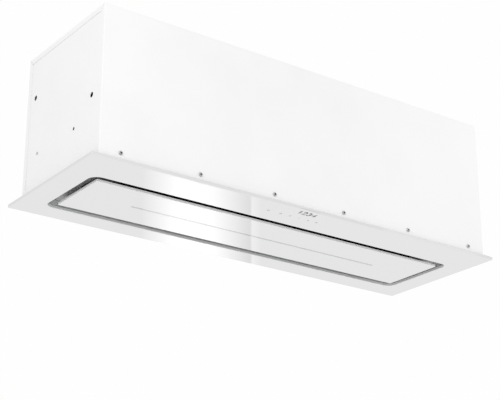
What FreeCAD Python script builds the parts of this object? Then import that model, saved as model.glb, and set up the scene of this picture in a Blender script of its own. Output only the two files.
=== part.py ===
"""Ceiling range hood with a flush glass panel, built as separate pieces.

The hood hangs from its top, so z = 0 is the top of the housing and everything else is below it.
X runs along the hood, Y runs from the control side (minus) to the hinge side (plus).
Millimetres throughout.
"""

import FreeCAD
import Part
import Sketcher
import math
import os

Vector = FreeCAD.Vector
Rotation = FreeCAD.Rotation

document = FreeCAD.newDocument("ceiling_range_hood")
sheet = document.addObject("Spreadsheet::Sheet", "Sizes")


# ---------------------------------------------------------------- sizes that carry their formula

class Size:
    """A number together with the sheet expression that gives it."""

    def __init__(self, value, text):
        self.value = value
        self.text = text

    def __add__(self, other):
        other = as_size(other)
        return Size(self.value + other.value, f"({self.text} + {other.text})")

    def __radd__(self, other):
        return as_size(other) + self

    def __sub__(self, other):
        other = as_size(other)
        return Size(self.value - other.value, f"({self.text} - {other.text})")

    def __rsub__(self, other):
        return as_size(other) - self

    def __mul__(self, other):
        other = as_size(other)
        return Size(self.value * other.value, f"({self.text} * {other.text})")

    def __rmul__(self, other):
        return as_size(other) * self

    def __truediv__(self, other):
        other = as_size(other)
        return Size(self.value / other.value, f"({self.text} / {other.text})")

    def __neg__(self):
        return Size(-self.value, f"(0 - {self.text})")


def as_size(number):
    """Take a plain number as a size that no cell changes."""
    if isinstance(number, Size):
        return number
    return Size(float(number), f"{float(number):.6f}")


def driving(alias, value, meaning):
    """Write one driving dimension into the sheet and return it as a Size."""
    driving.row += 1
    cell = f"B{driving.row}"
    sheet.set(f"A{driving.row}", meaning)
    sheet.set(cell, str(value))
    sheet.setAlias(cell, alias)
    sheet.recompute()
    return Size(float(sheet.get(alias)), f"Sizes.{alias}")


driving.row = 0


# ---------------------------------------------------------------- driving dimensions

# glass face and its opening
face_length = driving("face_length", 1003, "length of the glass face")
face_width = driving("face_width", 330, "width of the glass face")
face_thickness = driving("face_thickness", 6, "thickness of the glass face")
face_corner = driving("face_corner", 1.5, "corner radius of the glass face")
face_shift = driving("face_shift", 3.5, "centre of the face behind the centre of the housing")
face_across = driving("face_across", -1.5, "centre of the face and its opening along X")
opening_length = driving("opening_length", 897, "length of the opening in the face")
opening_width = driving("opening_width", 193, "width of the opening in the face")
opening_shift = driving("opening_shift", 17.5, "centre of the opening behind the face's centre")
opening_corner = driving("opening_corner", 20, "corner radius of the opening")
glass_bevel = driving("glass_bevel", 0.8, "ground bevel on the edges of both glasses")

# centre panel
slot_ends = driving("slot_ends", 17.5, "mean of the suction slots at the panel's two ends")
slot_sides = driving("slot_sides", 20.5, "suction slot between panel and face along each side")
panel_thickness = driving("panel_thickness", 5, "thickness of the glass panel")
panel_corner = driving("panel_corner", 2.5, "corner radius of the glass panel")
panel_inset = driving("panel_inset", 4, "panel carrier stands back from the glass by this much")
panel_rib_rise = driving("panel_rib_rise", 5, "height of the bars on the panel carrier")
panel_rib_length = driving("panel_rib_length", 700, "length of those bars")
panel_rib_inset = driving("panel_rib_inset", 28, "those bars stand back from the panel's edge")

# housing
housing_length = driving("housing_length", 966, "length of the housing")
housing_width = driving("housing_width", 302, "width of the housing")
overall_height = driving("overall_height", 320, "housing top down to the face's lower side")
wall_sheet = driving("wall_sheet", 1.2, "sheet of the housing")
bend_radius = driving("bend_radius", 2, "outer radius of the housing's bends")
end_flange = driving("end_flange", 12.5, "flange turned in at the housing's ends")
mitre_gap = driving("mitre_gap", 0.6, "slit in the mitres of those flanges")
end_foot = driving("end_foot", 14, "foot turned in at the lower edge of an end wall")
bracket_hole = driving("bracket_hole", 11, "holes in the end walls for ceiling brackets")
bracket_spread = driving("bracket_spread", 231, "distance between those holes along Y")
bracket_shift = driving("bracket_shift", 3, "end walls' holes towards the rear")
bracket_hole_high = driving("bracket_hole_high", 224.3, "upper bracket hole above the face's lower side")
bracket_hole_low = driving("bracket_hole_low", 141.9, "lower bracket hole above the face's lower side")
tie_spread = driving("tie_spread", 145, "distance between the two small holes in an end wall")
tie_rise = driving("tie_rise", 96.3, "small holes above the face's lower side")
tie_hole = driving("tie_hole", 7, "open small hole")

# screws of the housing
screw_margin = driving("screw_margin", 45.5, "outer wall screws from the housing's ends")
screw_rise = driving("screw_rise", 22, "wall screws above the face's lower side")
screw_head = driving("screw_head", 8.4, "head diameter of the screws")
screw_head_rise = driving("screw_head_rise", 2.4, "head height of the screws")
screw_shank = driving("screw_shank", 3.9, "shank diameter of the screws")
screw_length = driving("screw_length", 6, "length of the wall screws under the head")
screw_play = driving("screw_play", 0.1, "radial play of a screw in its hole")
end_screw_head = driving("end_screw_head", 6, "head diameter of the end walls' screws")
end_screw_shank = driving("end_screw_shank", 2.7, "shank diameter of the end walls' screws")
end_screw_rise = driving("end_screw_rise", 1, "head height of the end walls' screws")

# steel frame behind the glass face
carrier_sheet = driving("carrier_sheet", 1.2, "sheet of the face carrier")
carrier_inset = driving("carrier_inset", 3, "face carrier stands back from the glass edge")
carrier_opening = driving("carrier_opening", 2, "face carrier stands back from the opening")
seal_width = driving("seal_width", 3.5, "width of the foam seal under the ceiling")
seal_rise = driving("seal_rise", 1.5, "height of the foam seal")
seal_inset = driving("seal_inset", 1, "foam seal stands back from the carrier's edge")
upstand_rise = driving("upstand_rise", 27, "upstands of the face carrier above its sheet")
piece_gap = driving("piece_gap", 0.3, "gap between pieces that don't touch")

# touch board
touch_length = driving("touch_length", 150, "length of the touch board")
touch_width = driving("touch_width", 26, "width of the touch board")
touch_board_thickness = driving("touch_board_thickness", 1.6, "thickness of the circuit boards")
touch_centre_x = driving("touch_centre_x", -20, "centre of the touch keys along X")
touch_margin = driving("touch_margin", 41.5, "touch keys behind the face's front edge")
touch_chip = driving("touch_chip", 12, "side of the chip on the touch board")
touch_plug = driving("touch_plug", 10, "side of the plug on the touch board")
touch_plug_rise = driving("touch_plug_rise", 7, "height of that plug")
touch_plug_shift = driving("touch_plug_shift", 60, "plug from the middle of the touch board")

# suction tray
tray_sheet = driving("tray_sheet", 1, "sheet of the suction tray")
tray_gap = driving("tray_gap", 3, "suction tray outside the opening")
tray_flange = driving("tray_flange", 10, "flange of the suction tray")
ledge_rise = driving("ledge_rise", 20, "ledge of the suction tray above the face's lower side")
filter_stop = driving("filter_stop", 7, "rim over the filters")
tray_screw_margin = driving("tray_screw_margin", 87, "outer tray screws from the opening's ends")
tray_screw_length = driving("tray_screw_length", 2, "length of the tray's screws")

# grease filters and their latches
filter_length = driving("filter_length", 379, "length of a grease filter")
filter_width = driving("filter_width", 165, "width of a grease filter")
filter_thickness = driving("filter_thickness", 9, "thickness of a grease filter")
filter_gap = driving("filter_gap", 0.5, "gap round each filter")
filter_rail = driving("filter_rail", 8, "rails of a filter frame")
tongue_pitch = driving("tongue_pitch", 222, "distance between a filter's rear tongues")
latch_rail = driving("latch_rail", 20, "rail that holds the latch")
mesh_thickness = driving("mesh_thickness", 6, "thickness of the mesh pack")
tongue_width = driving("tongue_width", 20, "width of a filter's rear tongues")
tongue_length = driving("tongue_length", 3, "length of a filter's rear tongues")
tongue_thickness = driving("tongue_thickness", 2, "thickness of tongues and latch bolts")
latch_width = driving("latch_width", 40, "width of a latch's slider")
latch_wings = driving("latch_wings", 4, "wings that hold the slider in its rail")
latch_depth = driving("latch_depth", 7, "size of the slider along its travel")
latch_travel = driving("latch_travel", 4, "travel of a latch")
latch_play = driving("latch_play", 0.3, "play of a latch in its pocket")
latch_grip = driving("latch_grip", 2.6, "finger grip of a latch below the filter")
latch_grip_width = driving("latch_grip_width", 24, "width of that grip")
latch_wall = driving("latch_wall", 2, "wall of the filter frame in front of the latch")
latch_bolt = driving("latch_bolt", 14, "width of the latch bolt")
latch_reach = driving("latch_reach", 3.5, "reach of the latch bolt past the filter frame")
pocket_rise = driving("pocket_rise", 5, "height of the latch pocket")
wing_rise = driving("wing_rise", 2.5, "wings above the filter's lower side")
spring_radius = driving("spring_radius", 1.3, "mean radius of the latch springs")
spring_wire = driving("spring_wire", 0.5, "wire of the latch springs")
spring_turns = driving("spring_turns", 4, "turns of a latch spring")

# panel hinges and catches
hinge_station = driving("hinge_station", 402, "hinges from the middle along X")
pin_radius = driving("pin_radius", 2, "radius of the hinge pins")
pin_play = driving("pin_play", 0.05, "radial play of a hinge on its pin")
pin_rise = driving("pin_rise", 12.5, "hinge pins above the face's lower side")
pin_inset = driving("pin_inset", 5, "hinge pins inside the panel's rear edge")
knuckle_radius = driving("knuckle_radius", 3.8, "radius of the hinge knuckles")
knuckle_length = driving("knuckle_length", 16, "length of the hinge knuckles")
pin_head = driving("pin_head", 3, "radius of a hinge pin's head")
pin_head_rise = driving("pin_head_rise", 1, "height of a hinge pin's head")
hinge_base = driving("hinge_base", 11.4, "width of a hinge bracket's base")
hinge_sheet = driving("hinge_sheet", 1.5, "sheet of brackets, leaves and striker plates")
leaf_depth = driving("leaf_depth", 16, "depth of the hinge leaves")
catch_station = driving("catch_station", 407, "catches from the middle along X")
catch_length = driving("catch_length", 54, "length of a catch magnet, along Y")
catch_width = driving("catch_width", 20, "width of a catch magnet")
catch_inset = driving("catch_inset", 31, "catches behind the panel's front edge")

# light
light_length = driving("light_length", 621, "length of the light line")
light_width = driving("light_width", 6, "width of the light line")
light_corner = driving("light_corner", 1.8, "corner radius of the light line")
light_play = driving("light_play", 0.2, "gap between diffuser and glass")
light_recess = driving("light_recess", 0.1, "diffuser behind the glass surface")
light_lip = driving("light_lip", 3.5, "lip of the diffuser behind the glass")
profile_width = driving("profile_width", 24, "width of the light profile")
profile_rise = driving("profile_rise", 7.5, "height of the light profile")
profile_wall = driving("profile_wall", 1.5, "wall of the light profile")
profile_overhang = driving("profile_overhang", 8, "profile longer than the light line at each end")
light_board_width = driving("light_board_width", 12, "width of the light board")
diode_side = driving("diode_side", 3, "side of a light-emitting diode")
diode_rise = driving("diode_rise", 0.8, "height of a light-emitting diode")
diode_count = driving("diode_count", 24, "number of light-emitting diodes")

# blower
duct_diameter = driving("duct_diameter", 149, "outer diameter of the outlet collar")
duct_shift = driving("duct_shift", 40, "outlet collar behind the housing's centre")
collar_rise = driving("collar_rise", 60, "height of the outlet collar")
collar_wall = driving("collar_wall", 2.5, "wall of the outlet collar")
collar_flange = driving("collar_flange", 90, "radius of the collar's flange")
collar_flange_rise = driving("collar_flange_rise", 3, "thickness of the collar's flange")
collar_bolts = driving("collar_bolts", 82, "radius of the collar's screw circle")
collar_screw_length = driving("collar_screw_length", 7, "length of the collar's screws")
impeller_radius = driving("impeller_radius", 80, "radius of the impeller")
impeller_width = driving("impeller_width", 96, "width of the impeller")
blade_depth = driving("blade_depth", 15, "radial depth of the blades")
blade_sheet = driving("blade_sheet", 1, "thickness of the blades")
blade_count = driving("blade_count", 32, "number of blades")
hub_radius = driving("hub_radius", 12, "radius of the impeller's hub")
hub_length = driving("hub_length", 8, "length of the impeller's hub")
ring_width = driving("ring_width", 2, "thickness of the impeller's rings and disc")
ring_depth = driving("ring_depth", 9, "radial depth of the impeller's rings")
scroll_start = driving("scroll_start", 84, "radius where the scroll starts")
scroll_growth = driving("scroll_growth", 12, "growth of the scroll per quarter turn")
scroll_width = driving("scroll_width", 120, "width of the scroll")
scroll_wall = driving("scroll_wall", 2, "wall of the scroll")
scroll_neck = driving("scroll_neck", 128, "blower axis below the outlet")
tongue_reach = driving("tongue_reach", 36, "scroll's tongue beside the blower axis")
lug_rim = driving("lug_rim", 1.8, "lugs of the scroll wider than the screw heads")
lug_length = driving("lug_length", 12, "length of a lug on each half of the scroll")
scroll_flange = driving("scroll_flange", 66, "half side of the scroll's top flange")
scroll_flange_sheet = driving("scroll_flange_sheet", 3, "thickness of that flange")
inlet_radius = driving("inlet_radius", 62, "radius of the inlets")
inlet_ring_wall = driving("inlet_ring_wall", 2, "wall of the inlet rings")
inlet_ring_flange = driving("inlet_ring_flange", 14, "flange of the inlet rings")
inlet_ring_depth = driving("inlet_ring_depth", 6, "inlet rings inside the scroll")

# motor
shaft_radius = driving("shaft_radius", 4, "radius of the motor shaft")
shaft_end = driving("shaft_end", 5, "shaft past the motor's end and past the hub's middle")
shaft_play = driving("shaft_play", 0.03, "radial play of the shaft in its bearings")
motor_radius = driving("motor_radius", 46, "radius of the motor shell")
motor_wall = driving("motor_wall", 2.5, "wall of the motor shell")
motor_left = driving("motor_left", 74, "motor's outer end from the scroll's middle plane")
motor_right = driving("motor_right", 18, "motor's inner end from the scroll's middle plane")
bearing_radius = driving("bearing_radius", 9, "outer radius of the bearings")
bearing_width = driving("bearing_width", 7, "width of the bearings")
rotor_radius = driving("rotor_radius", 22, "radius of the rotor")
rotor_gap = driving("rotor_gap", 0.6, "air gap round the rotor")
stator_clear = driving("stator_clear", 10, "stator inside the ends of the motor")
winding_length = driving("winding_length", 6, "winding heads past the stator")
winding_inset = driving("winding_inset", 2, "winding heads inside the stator's surfaces")
arm_width = driving("arm_width", 12, "width of the bracket arms")
arm_sheet = driving("arm_sheet", 2, "sheet of the bracket")
arm_reach = driving("arm_reach", 84, "bushes from the blower axis")
bush_radius = driving("bush_radius", 6, "radius of the rubber bushes")
arm_hole = driving("arm_hole", 3.6, "radius of the holes in the bracket's arms")

# non-return flaps
flap_sheet = driving("flap_sheet", 1.2, "thickness of a flap")
flap_stop_rise = driving("flap_stop_rise", 14, "flap stop above the housing")
flap_stop_width = driving("flap_stop_width", 3, "width of the flap stop")
flap_gap = driving("flap_gap", 0.7, "gap between flap and collar")
flap_pin_radius = driving("flap_pin_radius", 1.5, "radius of the flap pin")
flap_pin_rise = driving("flap_pin_rise", 2.5, "flap pin above the stop")
flap_knuckle = driving("flap_knuckle", 2.6, "radius of the flap knuckles")
flap_knuckle_length = driving("flap_knuckle_length", 25, "length of a flap knuckle")
flap_knuckle_pitch = driving("flap_knuckle_pitch", 30, "pitch of the knuckles along the pin")

# hanging
hanger_pitch_x = driving("hanger_pitch_x", 600, "hanging holes along X")
hanger_pitch_y = driving("hanger_pitch_y", 200, "hanging holes along Y")
hanger_hole = driving("hanger_hole", 9, "diameter of the hanging holes")
rail_width = driving("rail_width", 40, "width of a hanger rail")
rail_height = driving("rail_height", 15, "height of a hanger rail")
rail_sheet = driving("rail_sheet", 2, "sheet of a hanger rail")

# electrics
box_length = driving("box_length", 130, "length of the control box")
box_width = driving("box_width", 90, "width of the control box")
box_height = driving("box_height", 42, "height of the control box")
box_wall = driving("box_wall", 2, "wall of the control box")
box_centre_x = driving("box_centre_x", 400, "centre of the electrics along X")
box_centre_y = driving("box_centre_y", -60, "centre of the control box along Y")
board_drop = driving("board_drop", 16, "board below the roof of the control box")
lid_rim = driving("lid_rim", 4, "rim of the lid inside the control box")
part_pitch = driving("part_pitch", 43, "parts on the control board along X")
transformer_length = driving("transformer_length", 26, "length of the transformer")
transformer_width = driving("transformer_width", 36, "width of the transformer")
transformer_rise = driving("transformer_rise", 16, "height of the transformer")
relay_side = driving("relay_side", 17, "side of the relay")
relay_rise = driving("relay_rise", 12, "height of the relay")
terminal_length = driving("terminal_length", 22, "length of the terminal block")
terminal_width = driving("terminal_width", 54, "width of the terminal block")
terminal_rise = driving("terminal_rise", 15, "height of the terminal block")
gland_radius = driving("gland_radius", 8, "radius of the gland's thread")
gland_bore = driving("gland_bore", 4.2, "radius of the gland's bore")
gland_head = driving("gland_head", 11, "radius of the gland's head")
gland_rise = driving("gland_rise", 12, "height of the gland above the housing")
gland_nut_rise = driving("gland_nut_rise", 5, "height of the gland's nut")
driver_length = driving("driver_length", 120, "length of the light's supply unit")
driver_width = driving("driver_width", 40, "width of the light's supply unit")
driver_height = driving("driver_height", 25, "height of the light's supply unit")
driver_centre_y = driving("driver_centre_y", 60, "centre of the light's supply unit along Y")
ear_length = driving("ear_length", 12, "ears at the ends of the supply unit")
ear_width = driving("ear_width", 20, "width of those ears")
ear_thickness = driving("ear_thickness", 2, "thickness of those ears")
roof_screw_length = driving("roof_screw_length", 5, "screws under the top, below the head")
capacitor_radius = driving("capacitor_radius", 17.5, "radius of the motor capacitor")
capacitor_length = driving("capacitor_length", 60, "length of the motor capacitor")
capacitor_x = driving("capacitor_x", -190, "centre of the motor capacitor along X")
capacitor_y = driving("capacitor_y", -60, "centre of the motor capacitor along Y")
clip_sheet = driving("clip_sheet", 1.2, "sheet of the capacitor clip")
clip_width = driving("clip_width", 14, "width of the capacitor clip")
clip_foot = driving("clip_foot", 14, "feet of the clip on both sides of the capacitor")

# levels and lines that several pieces share
face_bottom = -overall_height
glass_top = face_bottom + face_thickness
carrier_top = glass_top + carrier_sheet
ledge_bottom = face_bottom + ledge_rise
ledge_top = ledge_bottom + tray_sheet
housing_end = housing_length / 2
housing_side = housing_width / 2
inner_side = housing_side - wall_sheet
roof = -wall_sheet
opening_y = face_shift + opening_shift
panel_length = opening_length - 2 * slot_ends
panel_width = opening_width - 2 * slot_sides
panel_back_top = face_bottom + panel_thickness + carrier_sheet
touch_y = face_shift - face_width / 2 + touch_margin
pin_y = opening_y + panel_width / 2 - pin_inset
pin_z = face_bottom + pin_rise
filter_bottom = ledge_bottom + filter_gap
filter_top = filter_bottom + filter_thickness
filter_front = opening_y - filter_width / 2
filter_rear = opening_y + filter_width / 2
field_end = filter_length + 1.5 * filter_gap
field_front = filter_front - filter_gap
field_rear = filter_rear + filter_gap
axis_y = duct_shift - (tongue_reach + 3.5 * scroll_growth + scroll_start) / 2
axis_z = roof - scroll_neck
flap_axis_z = flap_stop_rise + flap_pin_rise
screw_hole = screw_shank / 2 + screw_play
spring_room = latch_travel + spring_turns * spring_wire
lug_radius = screw_head / 2 + lug_rim
lug_reach = screw_head / 2 + piece_gap

# cutting tools run past the faces they open by this much
PAST = 1


# ---------------------------------------------------------------- drawing helpers

AXIS_TURN = {
    "x": Rotation(Vector(0, 1, 0), 90),
    "y": Rotation(Vector(1, 0, 0), -90),
    "z": Rotation(),
}


def bind(item, name, size):
    """Tie one property of an object to the sheet."""
    item.setExpression(name, as_size(size).text)


def move(item, x, y, z):
    """Tie an object's place to the sheet."""
    bind(item, "Placement.Base.x", x)
    bind(item, "Placement.Base.y", y)
    bind(item, "Placement.Base.z", z)
    return item


def block(name, x, y, z):
    """A box between two sizes along each axis."""
    solid = document.addObject("Part::Box", name)
    bind(solid, "Length", x[1] - as_size(x[0]))
    bind(solid, "Width", y[1] - as_size(y[0]))
    bind(solid, "Height", z[1] - as_size(z[0]))
    return move(solid, x[0], y[0], z[0])


def around(centre, width):
    """The two ends of a stretch of this width about a centre."""
    half = as_size(width) / 2
    return (as_size(centre) - half, as_size(centre) + half)


def rod(name, axis, radius, ends, centre):
    """A cylinder along an axis; centre gives the other two coordinates in X, Y, Z order."""
    solid = document.addObject("Part::Cylinder", name)
    solid.Placement = FreeCAD.Placement(Vector(), AXIS_TURN[axis])
    bind(solid, "Radius", radius)
    bind(solid, "Height", ends[1] - as_size(ends[0]))
    place = list(centre)
    place.insert("xyz".index(axis), ends[0])
    return move(solid, *place)


def fuse(name, *pieces):
    """One solid out of several."""
    result = document.addObject("Part::MultiFuse", name)
    result.Shapes = list(pieces)
    result.Refine = True
    return result


def cut(name, base, *tools):
    """A piece with others taken away."""
    result = document.addObject("Part::Cut", name)
    result.Base = base
    result.Tool = tools[0] if len(tools) == 1 else fuse(f"{name}_tools", *tools)
    result.Refine = True
    return result


def common(name, base, tool):
    """What two shapes share."""
    result = document.addObject("Part::Common", name)
    result.Base = base
    result.Tool = tool
    return result


def group(name, *pieces):
    """Several separate solids as one object."""
    result = document.addObject("Part::Compound", name)
    result.Links = list(pieces)
    return result


def mirror_x(name, source):
    """The same piece on the other side of the middle."""
    result = document.addObject("Part::Mirroring", name)
    result.Source = source
    result.Normal = Vector(1, 0, 0)
    return result


def tube(name, axis, outer, inner, ends, centre):
    """A ring or pipe along an axis."""
    return cut(name,
               rod(f"{name}_outside", axis, outer, ends, centre),
               rod(f"{name}_inside", axis, inner, ends, centre))


def copy_at(name, source, x, y, z, turn=Rotation()):
    """A like piece somewhere else."""
    result = document.addObject("App::Link", name)
    result.LinkedObject = source
    result.Placement = FreeCAD.Placement(Vector(), turn)
    return move(result, x, y, z)


def new_sketch(body, name, role, level, across=0, up=0):
    """A sketch on one of a body's origin planes, raised to a level and centred where it is told."""
    drawing = body.newObject("Sketcher::SketchObject", name)
    planes = [plane for plane in body.Origin.OriginFeatures if plane.Role == role]
    drawing.AttachmentSupport = [(planes[0], "")]
    drawing.MapMode = "FlatFace"
    bind(drawing, "AttachmentOffset.Base.x", across)
    bind(drawing, "AttachmentOffset.Base.y", up)
    bind(drawing, "AttachmentOffset.Base.z", level)
    return drawing


def hold(drawing, kind, size, *points):
    """Add a dimension and tie it to the sheet."""
    size = as_size(size)
    number = drawing.addConstraint(Sketcher.Constraint(kind, *points, size.value))
    drawing.setExpression(f"Constraints[{number}]", size.text)


def rounded_rectangle(drawing, length, width, corner):
    """A rectangle with round corners, centred on the sketch's origin."""
    length, width, corner = as_size(length), as_size(width), as_size(corner)
    x, y, r = length.value / 2, width.value / 2, corner.value
    first = drawing.GeometryCount
    corners = [Vector(x - r, r - y), Vector(x - r, y - r), Vector(r - x, y - r), Vector(r - x, r - y)]
    sides = [
        (Vector(r - x, -y), Vector(x - r, -y)),
        (Vector(x, r - y), Vector(x, y - r)),
        (Vector(x - r, y), Vector(r - x, y)),
        (Vector(-x, y - r), Vector(-x, r - y)),
    ]
    for start, end in sides:
        drawing.addGeometry(Part.LineSegment(start, end))
    for quarter, centre in enumerate(corners):
        begin = math.radians(-90 + 90 * quarter)
        circle = Part.Circle(centre, Vector(0, 0, 1), r)
        drawing.addGeometry(Part.ArcOfCircle(circle, begin, begin + math.pi / 2))
    rules = []
    for side in range(4):
        line, arc = first + side, first + 4 + side
        rules.append(Sketcher.Constraint("Tangent", line, 2, arc, 1))
        rules.append(Sketcher.Constraint("Tangent", arc, 2, first + (side + 1) % 4, 1))
        rules.append(Sketcher.Constraint("Vertical" if side % 2 else "Horizontal", line))
    for arc in (5, 6, 7):
        rules.append(Sketcher.Constraint("Equal", first + 4, first + arc))
    drawing.addConstraint(rules)
    drawing.addConstraint(Sketcher.Constraint("Symmetric", first + 4, 3, first + 6, 3, -1, 1))
    hold(drawing, "DistanceX", length - 2 * corner, first, 1, first, 2)
    hold(drawing, "DistanceY", width - 2 * corner, first + 1, 1, first + 1, 2)
    hold(drawing, "Radius", corner, first + 4)


def pad(body, drawing, length):
    """Raise a sketch into a solid."""
    feature = body.newObject("PartDesign::Pad", f"{drawing.Name}_pad")
    feature.Profile = drawing
    bind(feature, "Length", length)
    return feature


def outline(drawing, points):
    """A closed outline of straight lines whose corners are tied to the sheet."""
    points = [(as_size(across), as_size(up)) for across, up in points]
    first = drawing.GeometryCount
    count = len(points)
    spots = [Vector(across.value, up.value) for across, up in points]
    for index in range(count):
        drawing.addGeometry(Part.LineSegment(spots[index], spots[(index + 1) % count]))
    joints = [Sketcher.Constraint("Coincident", first + index, 2, first + (index + 1) % count, 1)
              for index in range(count)]
    drawing.addConstraint(joints)
    for index, (across, up) in enumerate(points):
        if abs(across.value) < 1e-9:
            drawing.addConstraint(Sketcher.Constraint("PointOnObject", first + index, 1, -2))
        else:
            hold(drawing, "DistanceX", across, -1, 1, first + index, 1)
        if abs(up.value) < 1e-9:
            drawing.addConstraint(Sketcher.Constraint("PointOnObject", first + index, 1, -1))
        else:
            hold(drawing, "DistanceY", up, -1, 1, first + index, 1)


def turned(name, points):
    """A piece turned about its own Z axis; points are (radius, height)."""
    body = document.addObject("PartDesign::Body", name)
    drawing = new_sketch(body, f"{name}_profile", "XZ_Plane", 0)
    outline(drawing, points)
    feature = body.newObject("PartDesign::Revolution", f"{name}_turned")
    feature.Profile = drawing
    feature.ReferenceAxis = (drawing, ["V_Axis"])
    feature.Angle = 360
    return body


def bevel(body, base, size, test):
    """Grind a bevel on the edges of a pad that a test picks."""
    document.recompute()
    edges = [f"Edge{number}" for number, edge in enumerate(base.Shape.Edges, 1) if test(edge)]
    feature = body.newObject("PartDesign::Chamfer", f"{body.Name}_bevel")
    feature.Base = (base, edges)
    bind(feature, "Size", size)
    return feature


def is_level(edge, height):
    """Whether an edge lies in a horizontal plane at this height."""
    box = edge.BoundBox
    return abs(box.ZMin - height) < 1e-6 and abs(box.ZMax - height) < 1e-6


def pan_screw(name, length):
    """A pan-head screw with a cross recess; its head stands on z = 0 and its shank points down."""
    head = screw_head / 2
    edge, crown = screw_head_rise * 0.45, head * 0.62
    blank = turned(f"{name}_blank", [
        (0, -length),
        (screw_shank / 2, -length),
        (screw_shank / 2, 0),
        (head, 0),
        (head, edge),
        (crown, screw_head_rise),
        (0, screw_head_rise),
    ])
    recess_length, recess_width = screw_head * 0.5, screw_head * 0.11
    recess = (screw_head_rise * 0.4, screw_head_rise + PAST)
    return cut(name, blank,
               block(f"{name}_slot_x", around(0, recess_length), around(0, recess_width), recess),
               block(f"{name}_slot_y", around(0, recess_width), around(0, recess_length), recess))


def steps(count, pitch):
    """Evenly spaced places about the middle."""
    return [pitch * (number - (count - 1) / 2) for number in range(count)]


# ---------------------------------------------------------------- housing

WALL_SCREWS = 6
screw_pitch = (housing_length - 2 * screw_margin) / (WALL_SCREWS - 1)
TOWARDS_REAR = Rotation(Vector(1, 0, 0), 90)
TOWARDS_FRONT = Rotation(Vector(1, 0, 0), -90)
UPSIDE_DOWN = Rotation(Vector(1, 0, 0), 180)

def screw_holes(name, ends):
    """Holes for the wall screws, from one Y to another."""
    height = face_bottom + screw_rise
    return [rod(f"{name}_{number}", "y", screw_hole, ends, (x, height))
            for number, x in enumerate(steps(WALL_SCREWS, screw_pitch))]


def hanger_holes(name):
    """The four holes that ceiling rods pass through."""
    return [rod(f"{name}_{x_side}{y_side}", "z", hanger_hole / 2, (-rail_height, PAST),
                ((x_side - 0.5) * hanger_pitch_x, (y_side - 0.5) * hanger_pitch_y))
            for x_side in (0, 1) for y_side in (0, 1)]


def collar_bolt_places():
    """The four screws of the outlet collar, on the diagonals."""
    reach = collar_bolts * math.sqrt(0.5)
    return [(side_x * reach, duct_shift + side_y * reach) for side_x in (-1, 1) for side_y in (-1, 1)]


def collar_bolt_holes(name, ends):
    """Holes on the collar's screw circle."""
    return [rod(f"{name}_{number}", "z", screw_hole, ends, place)
            for number, place in enumerate(collar_bolt_places())]


def mitre_slit(name, x, side):
    """The slit between two flanges at an upper corner of the housing."""
    start = end_flange + mitre_gap
    diagonal = (start - wall_sheet) * math.sqrt(2)
    slit = document.addObject("Part::Box", name)
    slit.Placement = FreeCAD.Placement(Vector(), Rotation(Vector(1, 0, 0), -side * 45))
    bind(slit, "Length", 2 * wall_sheet)
    bind(slit, "Width", mitre_gap)
    bind(slit, "Height", diagonal)
    half = mitre_gap * math.sqrt(0.125)
    return move(slit, x - wall_sheet, side * (housing_side - start) - half, side * half - start)


def housing_wrapper():
    """Front wall, top and rear wall in one folded sheet, with a flange turned in at each end."""
    solid = block("wrapper_solid", (-housing_end, housing_end), (-housing_side, housing_side),
                  (carrier_top, 0))
    document.recompute()
    upper = [number for number, edge in enumerate(solid.Shape.Edges, 1)
             if not is_level(edge, carrier_top.value)]
    rounded = document.addObject("Part::Fillet", "wrapper_bends")
    rounded.Base = solid
    rounded.Edges = [(number, bend_radius.value, bend_radius.value) for number in upper]
    hollow = block("wrapper_hollow", (wall_sheet - housing_end, housing_end - wall_sheet),
                   (-inner_side, inner_side), (carrier_top - PAST, roof))
    window = block("wrapper_window", (-housing_end - PAST, housing_end + PAST),
                   (end_flange - housing_side, housing_side - end_flange),
                   (carrier_top - PAST, -end_flange))
    tools = [hollow, window]
    tools += [mitre_slit(f"mitre_{end}{side}", x, side)
              for end, x in enumerate((-housing_end, housing_end)) for side in (-1, 1)]
    tools += screw_holes("wrapper_front_hole", (-housing_side - PAST, PAST - inner_side))
    tools += screw_holes("wrapper_rear_hole", (inner_side - PAST, housing_side + PAST))
    tools += hanger_holes("wrapper_hanger_hole")
    through = (roof - PAST, PAST)
    tools += collar_bolt_holes("wrapper_collar_hole", through)
    tools += [rod(f"wrapper_roof_hole_{number}", "z", screw_hole, through, place)
              for number, place in enumerate(supply_screw_places() + clip_screw_places())]
    tools.append(rod("wrapper_duct_hole", "z", duct_diameter / 2 - collar_wall, through, (0, duct_shift)))
    tools.append(rod("wrapper_gland_hole", "z", gland_radius, through, (box_centre_x, box_centre_y)))
    cut("housing_wrapper", rounded, *tools)


def end_walls():
    """Flat end plates behind the wrapper's flanges, each with a foot on the face carrier."""
    outer = wall_sheet - housing_end
    plate = block("end_plate", (outer, outer + wall_sheet), (-inner_side, inner_side), (carrier_top, roof))
    foot_side = inner_side - carrier_sheet - piece_gap
    foot = block("end_foot", (outer, outer + end_foot), (-foot_side, foot_side),
                 (carrier_top, carrier_top + wall_sheet))
    through = (outer - PAST, outer + wall_sheet + PAST)
    tie_y, tie_z = opening_y + bracket_shift, face_bottom + tie_rise
    holes = [
        rod("bracket_hole_upper", "x", bracket_hole / 2, through,
            (bracket_shift + bracket_spread / 2, face_bottom + bracket_hole_high)),
        rod("bracket_hole_lower", "x", bracket_hole / 2, through,
            (bracket_shift - bracket_spread / 2, face_bottom + bracket_hole_low)),
        rod("tie_hole_front", "x", tie_hole / 2, through, (tie_y - tie_spread / 2, tie_z)),
        rod("tie_hole_rear", "x", end_screw_shank / 2 + screw_play, through,
            (tie_y + tie_spread / 2, tie_z)),
    ]
    left = cut("end_wall_left", fuse("end_sheet", plate, foot), *holes)
    mirror_x("end_wall_right", left)


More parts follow.
